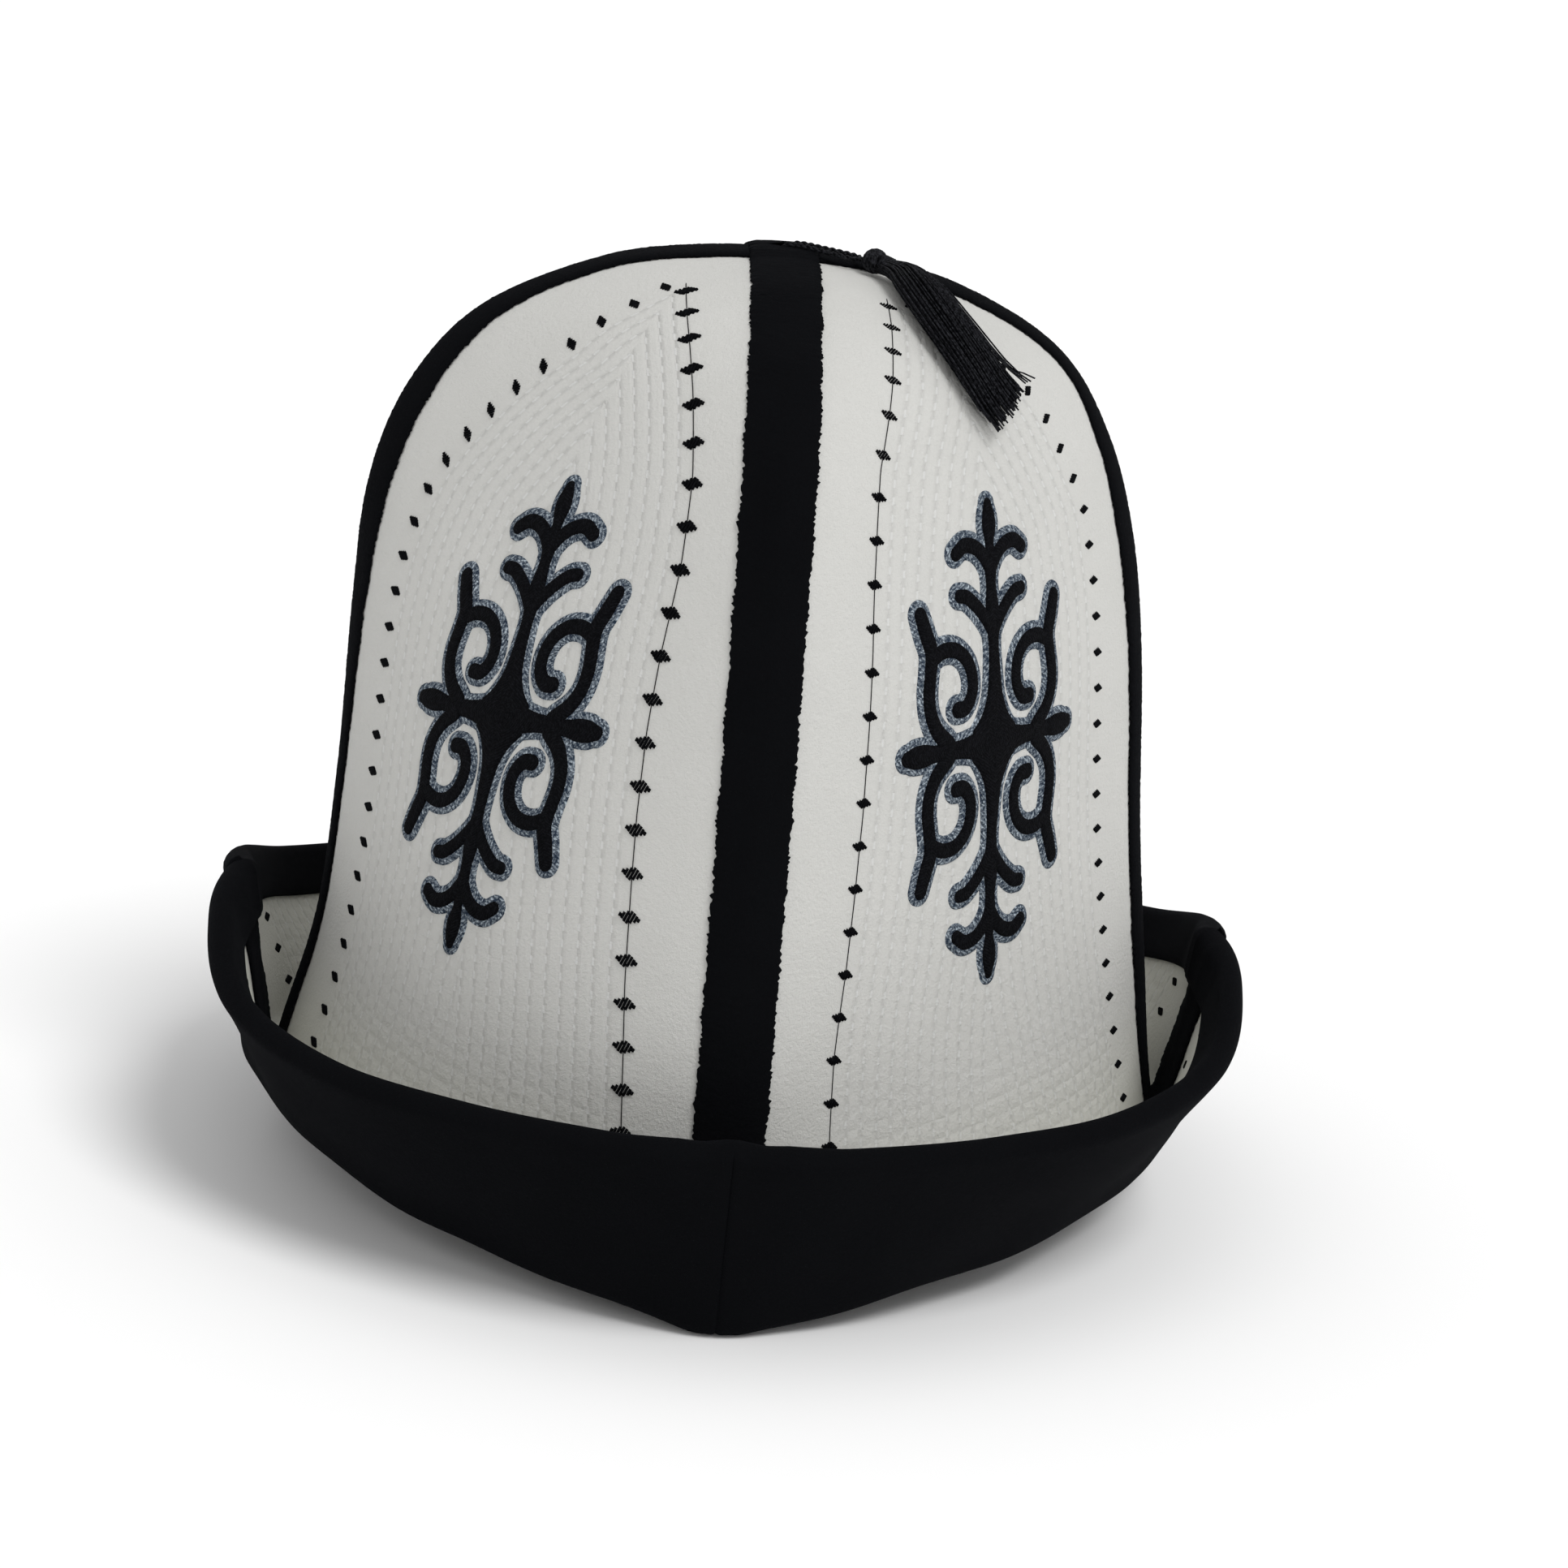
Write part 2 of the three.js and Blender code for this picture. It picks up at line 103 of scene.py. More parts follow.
CROWN = {
    "up": [1, 0.994, 0.975, 0.918, 0.832, 0.725, 0.594, 0.413, 0.252, 0.12, 0],
    "left": [0, 0.19, 0.395, 0.635, 0.78, 0.855, 0.875, 0.885, 0.91, 0.975, 1.035],
    "right": [0, 0.185, 0.385, 0.61, 0.735, 0.81, 0.855, 0.89, 0.935, 0.975, 1.035],
    "depth": [0, 0.19, 0.38, 0.61, 0.77, 0.865, 0.915, 0.945, 0.97, 0.99, 1.01],
    "bend_left": [1.8, 1.7, 1.5, 1.25, 1.16, 1.18, 1.32, 1.5, 1.58, 1.58, 1.58],
    "bend_right": [1.8, 1.75, 1.7, 1.6, 1.35, 1.26, 1.28, 1.29, 1.3, 1.46, 1.68],
}
BRIM_ROWS = {
    "rise": [0, 0.24, 0.45, 0.58, 0.73, 0.92, 1],
    "height": [1, 0.93, 0.87, 0.86, 0.88, 0.89, 0.89],
    "lean": [20, 24, 30, 35, 33, 19, 8],
}


def smooth(rows, place):
    """The value of one column of a table at places from 0 to 1, on a smooth curve."""
    rows = np.array(rows, float)
    steps = len(rows) - 1
    at = np.clip(place, 0, 1) * steps
    i = np.minimum(at.astype(int), steps - 1)
    f = at - i
    ends = [2 * rows[0] - rows[1]], [2 * rows[-1] - rows[-2]]
    t = np.concatenate([ends[0], rows, ends[1]])
    a, b, c, d = t[i], t[i + 1], t[i + 2], t[i + 3]
    return b + 0.5 * f * (c - a + f * (2 * a - 5 * b + 4 * c - d + f * (3 * b - a - 3 * c + d)))


# %% The white face
levels = np.linspace(0, 1, 4001)
level_heights = smooth(CROWN["up"], levels) * HEIGHT


def level_at(height):
    return np.interp(-height, -level_heights, levels)


def quarter_share(angle):
    """0 at the front and back seams, 1 at the side seams."""
    turned = np.mod(angle, 180)
    return np.minimum(turned, 180 - turned) / 90


def valley_height(angle):
    share = quarter_share(angle)
    rise = smooth(BRIM_ROWS["rise"], share) * SIDE_RISE
    settled = np.where(np.cos(np.radians(angle)) > 0, SETTLED_FRONT, SETTLED_BACK)
    sunk = np.maximum(rise - settled * (1 - share), 0)
    return sunk + VALLEY + FELT + GAP + VELVET - PRESSED


def half_section(left_half, level):
    """The half-width, the half-depth and the bend of one half of the crown at levels."""
    def column(left, right):
        return np.where(left_half, smooth(CROWN[left], level), smooth(CROWN[right], level))

    depth = smooth(CROWN["depth"], level) * HALF_DEPTH
    return column("left", "right") * HALF_WIDTH, depth, column("bend_left", "bend_right")


def section(angle, level):
    """The crown's white face at angles round it (0 front, 90 right) and levels."""
    side, fore = np.sin(np.radians(angle)), np.cos(np.radians(angle))
    width, depth, bend = half_section(side < 0, level)
    power = 2 / bend
    x = np.sign(side) * width * np.abs(side) ** power
    y = -np.sign(fore) * depth * np.abs(fore) ** power
    return np.stack([x, y, smooth(CROWN["up"], level) * HEIGHT], -1)


def white_face(angle, part):
    """part 0 to 1 goes down the crown, 1 to 2 round the valley, 2 to 3 up the brim."""
    angle, part = np.broadcast_arrays(np.asarray(angle, float), np.asarray(part, float))
    foot = level_at(valley_height(angle))
    crown = section(angle, foot * np.minimum(part, 1))
    lean = np.radians(smooth(BRIM_ROWS["lean"], quarter_share(angle)))
    along = section(angle + 0.05, foot) - section(angle - 0.05, foot)
    out = np.stack([along[..., 1], -along[..., 0], 0 * foot], -1)
    out /= np.linalg.norm(out, axis=-1, keepdims=True)
    start = section(angle, foot)
    down = section(angle, foot + 0.01) - start
    slope = np.arctan2((down * out).sum(-1), -down[..., 2])
    turned = slope + (math.pi - slope - lean) * np.clip(part - 1, 0, 1)
    climbed = np.maximum(part - 2, 0) * BRIM * smooth(BRIM_ROWS["height"], quarter_share(angle))
    across = VALLEY * (np.cos(slope) - np.cos(turned)) + climbed * np.sin(lean)
    rise = VALLEY * (np.sin(slope) - np.sin(turned)) + climbed * np.cos(lean)
    brim = start + out * across[..., None]
    brim[..., 2] += rise
    return np.where(part[..., None] <= 1, crown, brim)


def face_normal(angle, part):
    """The direction out of the felt, in the seam's own plane where a seam runs."""
    angle, part = np.broadcast_arrays(np.asarray(angle, float), np.asarray(part, float))
    round_it = white_face(angle + 0.05, part) - white_face(angle - 0.05, part)
    forth = white_face(angle, part + 0.001) - white_face(angle, part - 0.001)
    normal = np.cross(forth, round_it)
    seam = np.round(angle / 90)
    at_seam = np.abs(angle - 90 * seam) < 1e-6
    normal[..., 0] = np.where(at_seam & (seam % 2 == 0), 0, normal[..., 0])
    normal[..., 1] = np.where(at_seam & (seam % 2 == 1), 0, normal[..., 1])
    normal /= np.maximum(np.linalg.norm(normal, axis=-1, keepdims=True), 1e-12)
    normal[part < 0.002] = (0, 0, 1)
    return normal


def ripple(angle, part):
    """Slow unevenness of the felt, a few tenths of a millimetre, the same all through."""
    a = np.radians(angle)
    wave = np.sin(3 * a + 5 * part) + np.sin(5 * a - 7 * part + 1) + np.sin(7 * a + 11 * part + 2)
    return 0.12 * wave * np.clip(part * 4, 0, 1)


def off_face(angle, part, distance, floor=0.0):
    """Points at a distance off the white face, flattened where they would go lower."""
    lift = distance + ripple(angle, part)
    place = white_face(angle, part) + face_normal(angle, part) * np.asarray(lift)[..., None]
    place[..., 2] = np.maximum(place[..., 2], floor)
    return place


print("apex", white_face(0, 0.0).round(1), "front rim", white_face(0, 3.0).round(1))

# %% [markdown]
# ## The cord of the tassel
# A twisted cord comes out of the hole at the apex, runs over the side tape to the
# tassel's knot and goes back beside itself. It is laid before anything else is made,
# because its length is fixed. A two-ply cord could be a smooth tube with a twisted
# bump, but two plies wound round the route give it its real outline.

# %% Cord
CORD, STRANDS, KNOT = 1.1, 4.5, 2.7
CORD_POINTS, PLY_TURN, PLY_AWAY, PLY_THICK = 200, 3.4, CORD * 0.23, CORD * 0.58
TASSEL_ANGLES = [60, 54, 46, 41.5, 40.8, 43.5, 49]
TASSEL_LEVELS = [0.12, 0.152, 0.188, 0.238, 0.286, 0.334, 0.38]


def over_crown(angle, level, lift):
    """A point over the crown."""
    part = level / level_at(valley_height(np.asarray(angle, float)))
    lift = np.asarray(lift, float)[..., None]
    return section(angle, level) + face_normal(angle, part) * lift


def over_apex(x, y, lift):
    """A point over the crown beside the apex, where the crown is a shallow bowl."""
    drop = (1 - CROWN["up"][1]) * HEIGHT
    reach = CROWN["left"][1] * HALF_WIDTH
    return np.array([x, y, HEIGHT - drop * (x * x + y * y) / reach ** 2 + lift])


knot_at = over_crown(TASSEL_ANGLES[0], TASSEL_LEVELS[0], KNOT + GAP)
ahead = knot_at[:2] / np.linalg.norm(knot_at[:2])
lift = GAP + TAPE + GAP + CORD / 2
reach = np.linalg.norm(knot_at[:2]) - KNOT - GAP - CORD / 2
bend = STRANDS / 2
straight = reach - bend
eighth = math.sqrt(0.5)
lane = HOLE / 2


def beside(along, aside, height):
    x = ahead[0] * along - ahead[1] * aside
    y = ahead[1] * along + ahead[0] * aside
    return over_apex(x, y, height)


def strand(side):
    return [
        beside(0, side * lane, -FELT),
        beside(0, side * lane, lift - bend),
        beside(bend * (1 - eighth), side * lane, lift - bend * (1 - eighth)),
        beside(bend, side * lane, lift),
        beside(straight * 0.6, side * (lane + bend) * 0.5, lift),
        beside(straight, side * bend, lift),
        beside(straight + bend * eighth, side * bend * eighth, lift),
    ]


corners = np.array([*strand(-1), beside(reach, 0, lift), *strand(1)[::-1]])


# %% Lines, threads and pieces
def gone_along(points, power=1.0):
    """How far each point lies along a line of points, from the first one."""
    steps = np.linalg.norm(np.diff(points, axis=0), axis=1) ** power
    return np.concatenate([[0], np.cumsum(steps)])


def through(points, count):
    """Points on a smooth centripetal curve through some points, evenly spaced."""
    points = np.asarray(points, float)
    full = np.vstack([2 * points[0] - points[1], points, 2 * points[-1] - points[-2]])
    knots = gone_along(full, 0.5)
    fine = []
    for i in range(1, len(full) - 2):
        k0, k1, k2, k3 = knots[i - 1:i + 3]
        p0, p1, p2, p3 = full[i - 1:i + 3]
        t = np.linspace(k1, k2, 24, endpoint=i == len(full) - 3)[:, None]
        a1 = (k1 - t) / (k1 - k0) * p0 + (t - k0) / (k1 - k0) * p1
        a2 = (k2 - t) / (k2 - k1) * p1 + (t - k1) / (k2 - k1) * p2
        a3 = (k3 - t) / (k3 - k2) * p2 + (t - k2) / (k3 - k2) * p3
        b1 = (k2 - t) / (k2 - k0) * a1 + (t - k0) / (k2 - k0) * a2
        b2 = (k3 - t) / (k3 - k1) * a2 + (t - k1) / (k3 - k1) * a3
        fine.append((k2 - t) / (k2 - k1) * b1 + (t - k1) / (k2 - k1) * b2)
    fine = np.vstack(fine)
    gone = gone_along(fine)
    even = np.linspace(0, gone[-1], count)
    return np.stack([np.interp(even, gone, column) for column in fine.T], -1)


def threads(name, lines, thickness, sides=1):
    """One mesh of many threads, each along its own points in millimetres."""
    curve = bpy.data.curves.new(name, "CURVE")
    curve.dimensions = "3D"
    curve.bevel_depth = thickness / 2 * MM
    curve.bevel_resolution = sides
    curve.use_fill_caps = True
    for line in lines:
        spline = curve.splines.new("POLY")
        spline.points.add(len(line) - 1)
        spline.points.foreach_set("co", np.column_stack([line * MM, np.ones(len(line))]).ravel())
    source = bpy.data.objects.new(name, curve)
    mesh = bpy.data.meshes.new_from_object(source)
    bpy.data.objects.remove(source)
    bpy.data.curves.remove(curve)
    mesh.name = name
    return mesh


def add(name, mesh, *nodes):
    """A finished mesh as a piece of the hat, in place of the nodes that it stands for."""
    piece = bpy.data.objects.new(name, mesh)
    scene.collection.objects.link(piece)
    mesh.polygons.foreach_set("use_smooth", [True] * len(mesh.polygons))
    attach(piece, "root")
    if nodes:
        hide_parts(*nodes)
    mesh.calc_loop_triangles()
    print(name, "triangles", len(mesh.loop_triangles))
    return piece


def cross_frame(line):
    """Two directions square to a line at each of its points, turning as little as can be."""
    tangent = np.gradient(line, axis=0)
    tangent /= np.linalg.norm(tangent, axis=1, keepdims=True)
    first = np.cross(tangent[0], [0.3, 0.2, 1.0])
    one = []
    for direction in tangent:
        first = first - direction * (first @ direction)
        first = first / np.linalg.norm(first)
        one.append(first)
    one = np.array(one)
    return one, np.cross(tangent, one)


# %% Wind the cord
route = through(corners, CORD_POINTS)
one, two = cross_frame(route)
length = gone_along(route)[-1]
wound = 2 * math.pi * np.linspace(0, 1, CORD_POINTS) * length / PLY_TURN
plies = []
for start in (0, math.pi):
    aside = np.cos(wound + start)[:, None] * one + np.sin(wound + start)[:, None] * two
    plies.append(route + aside * PLY_AWAY)
cord = add("twisted_cord", threads("twisted_cord", plies, PLY_THICK, 2), "tassel_cord")
print("cord length", round(length, 2), "mm")

# %% [markdown]
# ## A map of each panel
# Stitches follow the cloth, so each quarter of the hat gets a map: rows down it from
# the apex over the brim, and along each row the length of cloth from seam to seam. A
# place in the map is then a row and a number of millimetres, as a seamstress would
# measure it. Projecting a flat pattern onto the crown would be simpler, but it would
# stretch where the crown turns over.

# %% Maps of the four panels
PART_ROWS = np.concatenate([
    np.linspace(0.016, 1, 151), np.linspace(1, 2, 15)[1:], np.linspace(2, 3, 29)[1:],
])
EVERY_ROW = np.arange(len(PART_ROWS))
POINTS_ACROSS, MIDDLE = 121, 60
QUARTERS = {"front_right": 0, "back_right": 90, "back_left": 180, "front_left": 270}

# How far the line of black stitches runs from the seam beside it, in millimetres of
# cloth, at distances down the middle of the panel.
BORDER_DOWN = [28, 42, 58, 75, 92, 110, 126, 142, 158, 175, 192, 208]
BORDER = {
    "left_by_front": [24.8, 24.0, 22.6, 21.8, 22.9, 25.2, 26.6, 26.7, 26.1, 25.6, 24.4, 23.4],
    "right_by_front": [24.4, 24.8, 24.5, 24.0, 25.4, 26.5, 27.0, 27.2, 26.6, 25.7, 24.1, 23.5],
    "left_by_side": [26.5, 33.3, 36.2, 29.3, 22.6, 20.8, 21.2, 23.2, 25.3, 27.6, 26.8, 26.6],
    "right_by_side": [26.0, 31.0, 33.0, 28.0, 23.0, 23.2, 24.4, 25.6, 25.8, 25.0, 23.5, 22.5],
}


def make_map(name):
    first = QUARTERS[name]
    angles = first + np.linspace(0, 90, POINTS_ACROSS)
    place = white_face(angles[None, :], PART_ROWS[:, None])
    steps = np.linalg.norm(np.diff(place, axis=1), axis=2)
    arc = np.concatenate([np.zeros((len(PART_ROWS), 1)), np.cumsum(steps, axis=1)], 1)
    down = gone_along(place[:, MIDDLE])
    half = name.split("_")[1]
    inset = []
    for seam in (first, first + 90):
        which = "_by_front" if seam % 180 == 0 else "_by_side"
        inset.append(np.interp(down, BORDER_DOWN, BORDER[half + which]))
    return {
        "first": first, "angles": angles, "place": place, "arc": arc,
        "down": down, "start": inset[0], "end": inset[1], "total": arc[:, -1],
    }


maps = {name: make_map(name) for name in QUARTERS}


def on_map(chart, row, along):
    """Angles and parts of places on a panel, from rows and lengths of cloth along them."""
    row = np.clip(np.asarray(row, float), 0, len(PART_ROWS) - 1.001)
    i = row.astype(int)
    f = row - i
    arc, angles = chart["arc"], chart["angles"]
    near = np.array([np.interp(a, arc[k], angles) for a, k in zip(along, i)])
    far = np.array([np.interp(a, arc[k + 1], angles) for a, k in zip(along, i)])
    part = PART_ROWS[i] * (1 - f) + PART_ROWS[i + 1] * f
    return near * (1 - f) + far * f, part


def row_at(chart, down):
    return np.interp(down, chart["down"], EVERY_ROW)


for name, chart in maps.items():
    print(name, "down the middle", chart["down"][-1].round(1), "mm")

# %% [markdown]
# ## Shader groups that several finishes share
# Wool, velvet and thread all have a fine broken surface. One group gives fibre: noise
# at two sizes that feeds the bump and tints the colour. Another gives twist: slanting
# plies across a thread. Each is built once and placed in the materials with its own
# values, so that a finish stays a short list of numbers.

# %% Helpers for node trees
def new_group(name, inputs, outputs):
    group = bpy.data.node_groups.new(name, "ShaderNodeTree")
    for label, kind, value in inputs:
        socket = group.interface.new_socket(label, in_out="INPUT", socket_type=kind)
        socket.default_value = value
    for label, kind in outputs:
        group.interface.new_socket(label, in_out="OUTPUT", socket_type=kind)
    return group, group.nodes.new("NodeGroupInput"), group.nodes.new("NodeGroupOutput")


def math_node(tree, operation, a, b=None, c=None, clamp=False):
    node = tree.nodes.new("ShaderNodeMath")
    node.operation = operation
    node.use_clamp = clamp
    for socket, value in zip(node.inputs, (a, b, c)):
        if isinstance(value, bpy.types.NodeSocket):
            tree.links.new(value, socket)
        elif value is not None:
            socket.default_value = value
    return node.outputs[0]


def product(tree, *values):
    """Several values multiplied together."""
    result = values[0]
    for value in values[1:]:
        result = math_node(tree, "MULTIPLY", result, value)
    return result


def fading(tree, distance, reach, start=1.0):
    """A value that falls from its start to nothing with the distance, and is 1 at most."""
    share = math_node(tree, "DIVIDE", distance, reach)
    return math_node(tree, "SUBTRACT", start, share, clamp=True)


def noise_node(tree, vector, scale, detail=4.0, roughness=0.6):
    node = tree.nodes.new("ShaderNodeTexNoise")
    if isinstance(scale, bpy.types.NodeSocket):
        tree.links.new(scale, node.inputs["Scale"])
    else:
        node.inputs["Scale"].default_value = scale
    node.inputs["Detail"].default_value = detail
    node.inputs["Roughness"].default_value = roughness
    tree.links.new(vector, node.inputs["Vector"])
    return node.outputs["Fac"]


def mix_colour(tree, share, a, b):
    node = tree.nodes.new("ShaderNodeMix")
    node.data_type = "RGBA"
    for socket, value in ((node.inputs[0], share), (node.inputs[6], a), (node.inputs[7], b)):
        if isinstance(value, bpy.types.NodeSocket):
            tree.links.new(value, socket)
        else:
            socket.default_value = value if isinstance(value, float) else (*value, 1)
    return node.outputs[2]


# %% Fibre: fine noise on the piece's own coordinates
fibre, inside, outside = new_group(
    "fibre",
    [("Size", "NodeSocketFloat", 1.0)],
    [("Fine", "NodeSocketFloat"), ("Patch", "NodeSocketFloat")],
)
where = fibre.nodes.new("ShaderNodeTexCoord").outputs["Object"]
fine_scale = math_node(fibre, "DIVIDE", 1100.0, inside.outputs["Size"])
patch_scale = math_node(fibre, "DIVIDE", 60.0, inside.outputs["Size"])
fibre.links.new(noise_node(fibre, where, fine_scale, 5.0, 0.75), outside.inputs["Fine"])
fibre.links.new(noise_node(fibre, where, patch_scale, 3.0, 0.6), outside.inputs["Patch"])

# %% Twist: slanting plies along a thread, from the attribute that holds its length
twist, inside, outside = new_group(
    "twist",
    [
        ("Pitch", "NodeSocketFloat", 1.2), ("Slant", "NodeSocketFloat", 0.6),
        ("Loose", "NodeSocketFloat", 0.0),
    ],
    [("Ply", "NodeSocketFloat")],
)
strand_map = twist.nodes.new("ShaderNodeAttribute")
strand_map.attribute_name = "strand"
parted = twist.nodes.new("ShaderNodeSeparateXYZ")
twist.links.new(strand_map.outputs["Vector"], parted.inputs[0])
sideways = math_node(twist, "ABSOLUTE", parted.outputs[1])
leaning = product(twist, sideways, inside.outputs["Slant"])
here = twist.nodes.new("ShaderNodeTexCoord").outputs["Object"]
drawn = product(twist, noise_node(twist, here, 900.0, 3.0), inside.outputs["Loose"])
run = math_node(twist, "ADD", math_node(twist, "ADD", parted.outputs[0], leaning), drawn)
turns = math_node(twist, "DIVIDE", run, inside.outputs["Pitch"])
wave = math_node(twist, "SINE", product(twist, turns, 2 * math.pi))
twist.links.new(math_node(twist, "MULTIPLY_ADD", wave, 0.5, 0.5), outside.inputs["Ply"])
print("groups", [group.name for group in bpy.data.node_groups])

# %% [markdown]
# ## The finishes
# The felt is bright wool with a short nap, quilted with pale shiny thread in lines
# that run parallel to the stitched border. The lines are read from an attribute on the
# panel that holds how far in from the border each point lies and how far down the
# panel. Modelled grooves would need far more faces than the eye can tell from a bump.

# %% A material with one shader and a bump
def new_material(name, roughness, sheen=0.0, sheen_colour=(1, 1, 1), gloss=0.03):
    material = bpy.data.materials.new(name)
    material.use_nodes = True
    tree = material.node_tree
    shader = tree.nodes["Principled BSDF"]
    shader.inputs["Roughness"].default_value = roughness
    shader.inputs["Sheen Weight"].default_value = sheen
    shader.inputs["Sheen Tint"].default_value = (*sheen_colour, 1)
    shader.inputs["Sheen Roughness"].default_value = 0.35
    shader.inputs["Specular IOR Level"].default_value = gloss
    return material, tree, shader


def use_group(tree, group, **values):
    node = tree.nodes.new("ShaderNodeGroup")
    node.node_tree = group
    for label, value in values.items():
        node.inputs[label].default_value = value
    return node.outputs


def add_bump(tree, shader, height, distance, strength=1.0):
    node = tree.nodes.new("ShaderNodeBump")
    node.inputs["Strength"].default_value = strength
    node.inputs["Distance"].default_value = distance * MM
    tree.links.new(height, node.inputs["Height"])
    tree.links.new(node.outputs["Normal"], shader.inputs["Normal"])


# %% Quilted felt: how near a point is to a line of quilting, and to a stitch in it
QUILT_PITCH, DASH_PITCH, RUNG_PITCH = 4.1, 3.4, 3.9
GROOVE_REACH, DASH_REACH, DASH_HALF, RUNG_REACH = 1.3, 0.42, 0.24, 1.2
RUNGS_FADE, CREAM_FADE = 22.0, 30.0
felt, tree, shader = new_material("quilted_felt", 0.9, 0.08, (1, 0.99, 0.96), 0.2)
hair = use_group(tree, fibre, Size=1.0)
cloth = tree.nodes.new("ShaderNodeAttribute")
cloth.attribute_name = "cloth"
parted = tree.nodes.new("ShaderNodeSeparateXYZ")
tree.links.new(cloth.outputs["Vector"], parted.inputs[0])
inset, down, above = parted.outputs
quilted = math_node(tree, "GREATER_THAN", inset, QUILT_PITCH * 0.5)

lines = math_node(tree, "DIVIDE", inset, QUILT_PITCH)
number = math_node(tree, "ROUND", lines)
away = math_node(tree, "ABSOLUTE", math_node(tree, "SUBTRACT", lines, number))
away = product(tree, away, QUILT_PITCH)
groove = product(tree, fading(tree, away, GROOVE_REACH), quilted)
groove = math_node(tree, "POWER", groove, 1.6)

shifted = math_node(tree, "FRACT", product(tree, number, 0.618))
beat = math_node(tree, "ADD", math_node(tree, "DIVIDE", down, DASH_PITCH), shifted)
beat = math_node(tree, "SUBTRACT", math_node(tree, "FRACT", beat), 0.5)
in_dash = math_node(tree, "LESS_THAN", math_node(tree, "ABSOLUTE", beat), DASH_HALF)
dash = product(tree, fading(tree, away, DASH_REACH), in_dash, quilted)
pinch = math_node(tree, "MULTIPLY_ADD", in_dash, -0.22, 1.0)

rungs = math_node(tree, "FRACT", math_node(tree, "DIVIDE", above, RUNG_PITCH))
between = math_node(tree, "ABSOLUTE", math_node(tree, "SUBTRACT", rungs, 0.5))
rung = fading(tree, between, RUNG_REACH / RUNG_PITCH)
rung = product(tree, rung, fading(tree, above, RUNGS_FADE, 2.0), quilted)
dip = math_node(tree, "MAXIMUM", product(tree, groove, pinch), product(tree, rung, 0.4))
print("quilting nodes", len(tree.nodes))

# %% Quilted felt: colour, gloss of the stitches, and relief
wool = mix_colour(tree, hair["Patch"], (0.605, 0.603, 0.578), (0.655, 0.652, 0.628))
creamy = product(tree, fading(tree, above, CREAM_FADE), 0.7)
wool = mix_colour(tree, creamy, wool, (0.62, 0.62, 0.545))
# Painted shade: the quilting grooves and the cross lines near the fold are painted darker, where
# shade falls in the hollows of the felt.
wool = mix_colour(tree, product(tree, dip, 0.15), wool, (0.36, 0.36, 0.35))
wool = mix_colour(tree, product(tree, hair["Fine"], 0.3), wool, (0.48, 0.475, 0.455))
wool = mix_colour(tree, product(tree, dash, 0.42), wool, (0.78, 0.79, 0.79))
tree.links.new(wool, shader.inputs["Base Color"])
gloss = math_node(tree, "MULTIPLY_ADD", dash, -0.5, 0.9)
tree.links.new(gloss, shader.inputs["Roughness"])
relief = product(tree, dip, -0.75)
relief = math_node(tree, "MULTIPLY_ADD", dash, 0.35, relief)
relief = math_node(tree, "MULTIPLY_ADD", hair["Fine"], 0.75, relief)
relief = math_node(tree, "MULTIPLY_ADD", hair["Patch"], 0.8, relief)
add_bump(tree, shader, relief, 0.55)
print("felt nodes", len(tree.nodes))

# %% [markdown]
# Velvet is black in its depth and grey where the pile catches the light edge on. Sheen
# does that without any paint, and a soft fibre bump keeps it from looking like rubber.

# %% Velvet
velvet, tree, shader = new_material("velvet", 0.95, 0.012, (0.6, 0.65, 0.8), 0.015)
hair = use_group(tree, fibre, Size=0.9)
pile = mix_colour(tree, hair["Patch"], (0.0022, 0.0023, 0.0028), (0.0036, 0.0038, 0.0045))
pile = mix_colour(tree, product(tree, hair["Fine"], 0.3), pile, (0.008, 0.0085, 0.01))
tree.links.new(pile, shader.inputs["Base Color"])
add_bump(tree, shader, math_node(tree, "MULTIPLY_ADD", hair["Patch"], 1.5, hair["Fine"]), 0.3)

# %% [markdown]
# The threads are black for the filling, the border and the tassel, and blue-grey for
# the chain of loops that outlines the ornament. Each thread goes from a dark colour in
# its hollows, which is painted shade, to a light one on its plies, which is a painted
# highlight, broken up by the fibre.

# %% Threads
def thread_material(name, dark, light, roughness, pitch, slant, loose, depth):
    material, tree, shader = new_material(name, roughness)
    ply = use_group(tree, twist, Pitch=pitch, Slant=slant, Loose=loose)
    hair = use_group(tree, fibre, Size=0.8)
    spread = math_node(tree, "MULTIPLY_ADD", hair["Fine"], 6.0, -2.6, clamp=True)
    ply_highlight_share = math_node(tree, "MULTIPLY_ADD", ply["Ply"], 0.75, 0.25)
    # Painted shade and highlight: the hollows between the plies take the dark colour and the
    # raised plies the light one.
    colour = mix_colour(tree, product(tree, ply_highlight_share, spread), dark, light)
    tree.links.new(colour, shader.inputs["Base Color"])
    add_bump(tree, shader, math_node(tree, "MULTIPLY_ADD", hair["Fine"], 0.8, ply["Ply"]), depth)
    return material


# Each pair is a thread's painted shade in its hollows and its painted highlight on its plies.
BLACK, NEARLY_BLACK = (0.0022, 0.0023, 0.003), (0.008, 0.0085, 0.0105)
SILK_PLY_HIGHLIGHT = (0.03, 0.031, 0.036)
DEEP_GREY, PALE_GREY = (0.026, 0.04, 0.064), (0.5, 0.57, 0.63)
black_stitch = thread_material("black_stitch", BLACK, NEARLY_BLACK, 0.75, 0.7, 0.6, 1.2, 0.12)
grey_chain = thread_material("grey_chain", DEEP_GREY, PALE_GREY, 0.75, 1.1, 1.1, 2.4, 0.3)
silk = thread_material("tassel_silk", BLACK, SILK_PLY_HIGHLIGHT, 0.5, 0.6, 0.5, 0.5, 0.06)
cord.data.materials.append(silk)
print("materials", [m.name for m in (felt, velvet, black_stitch, grey_chain, silk)])

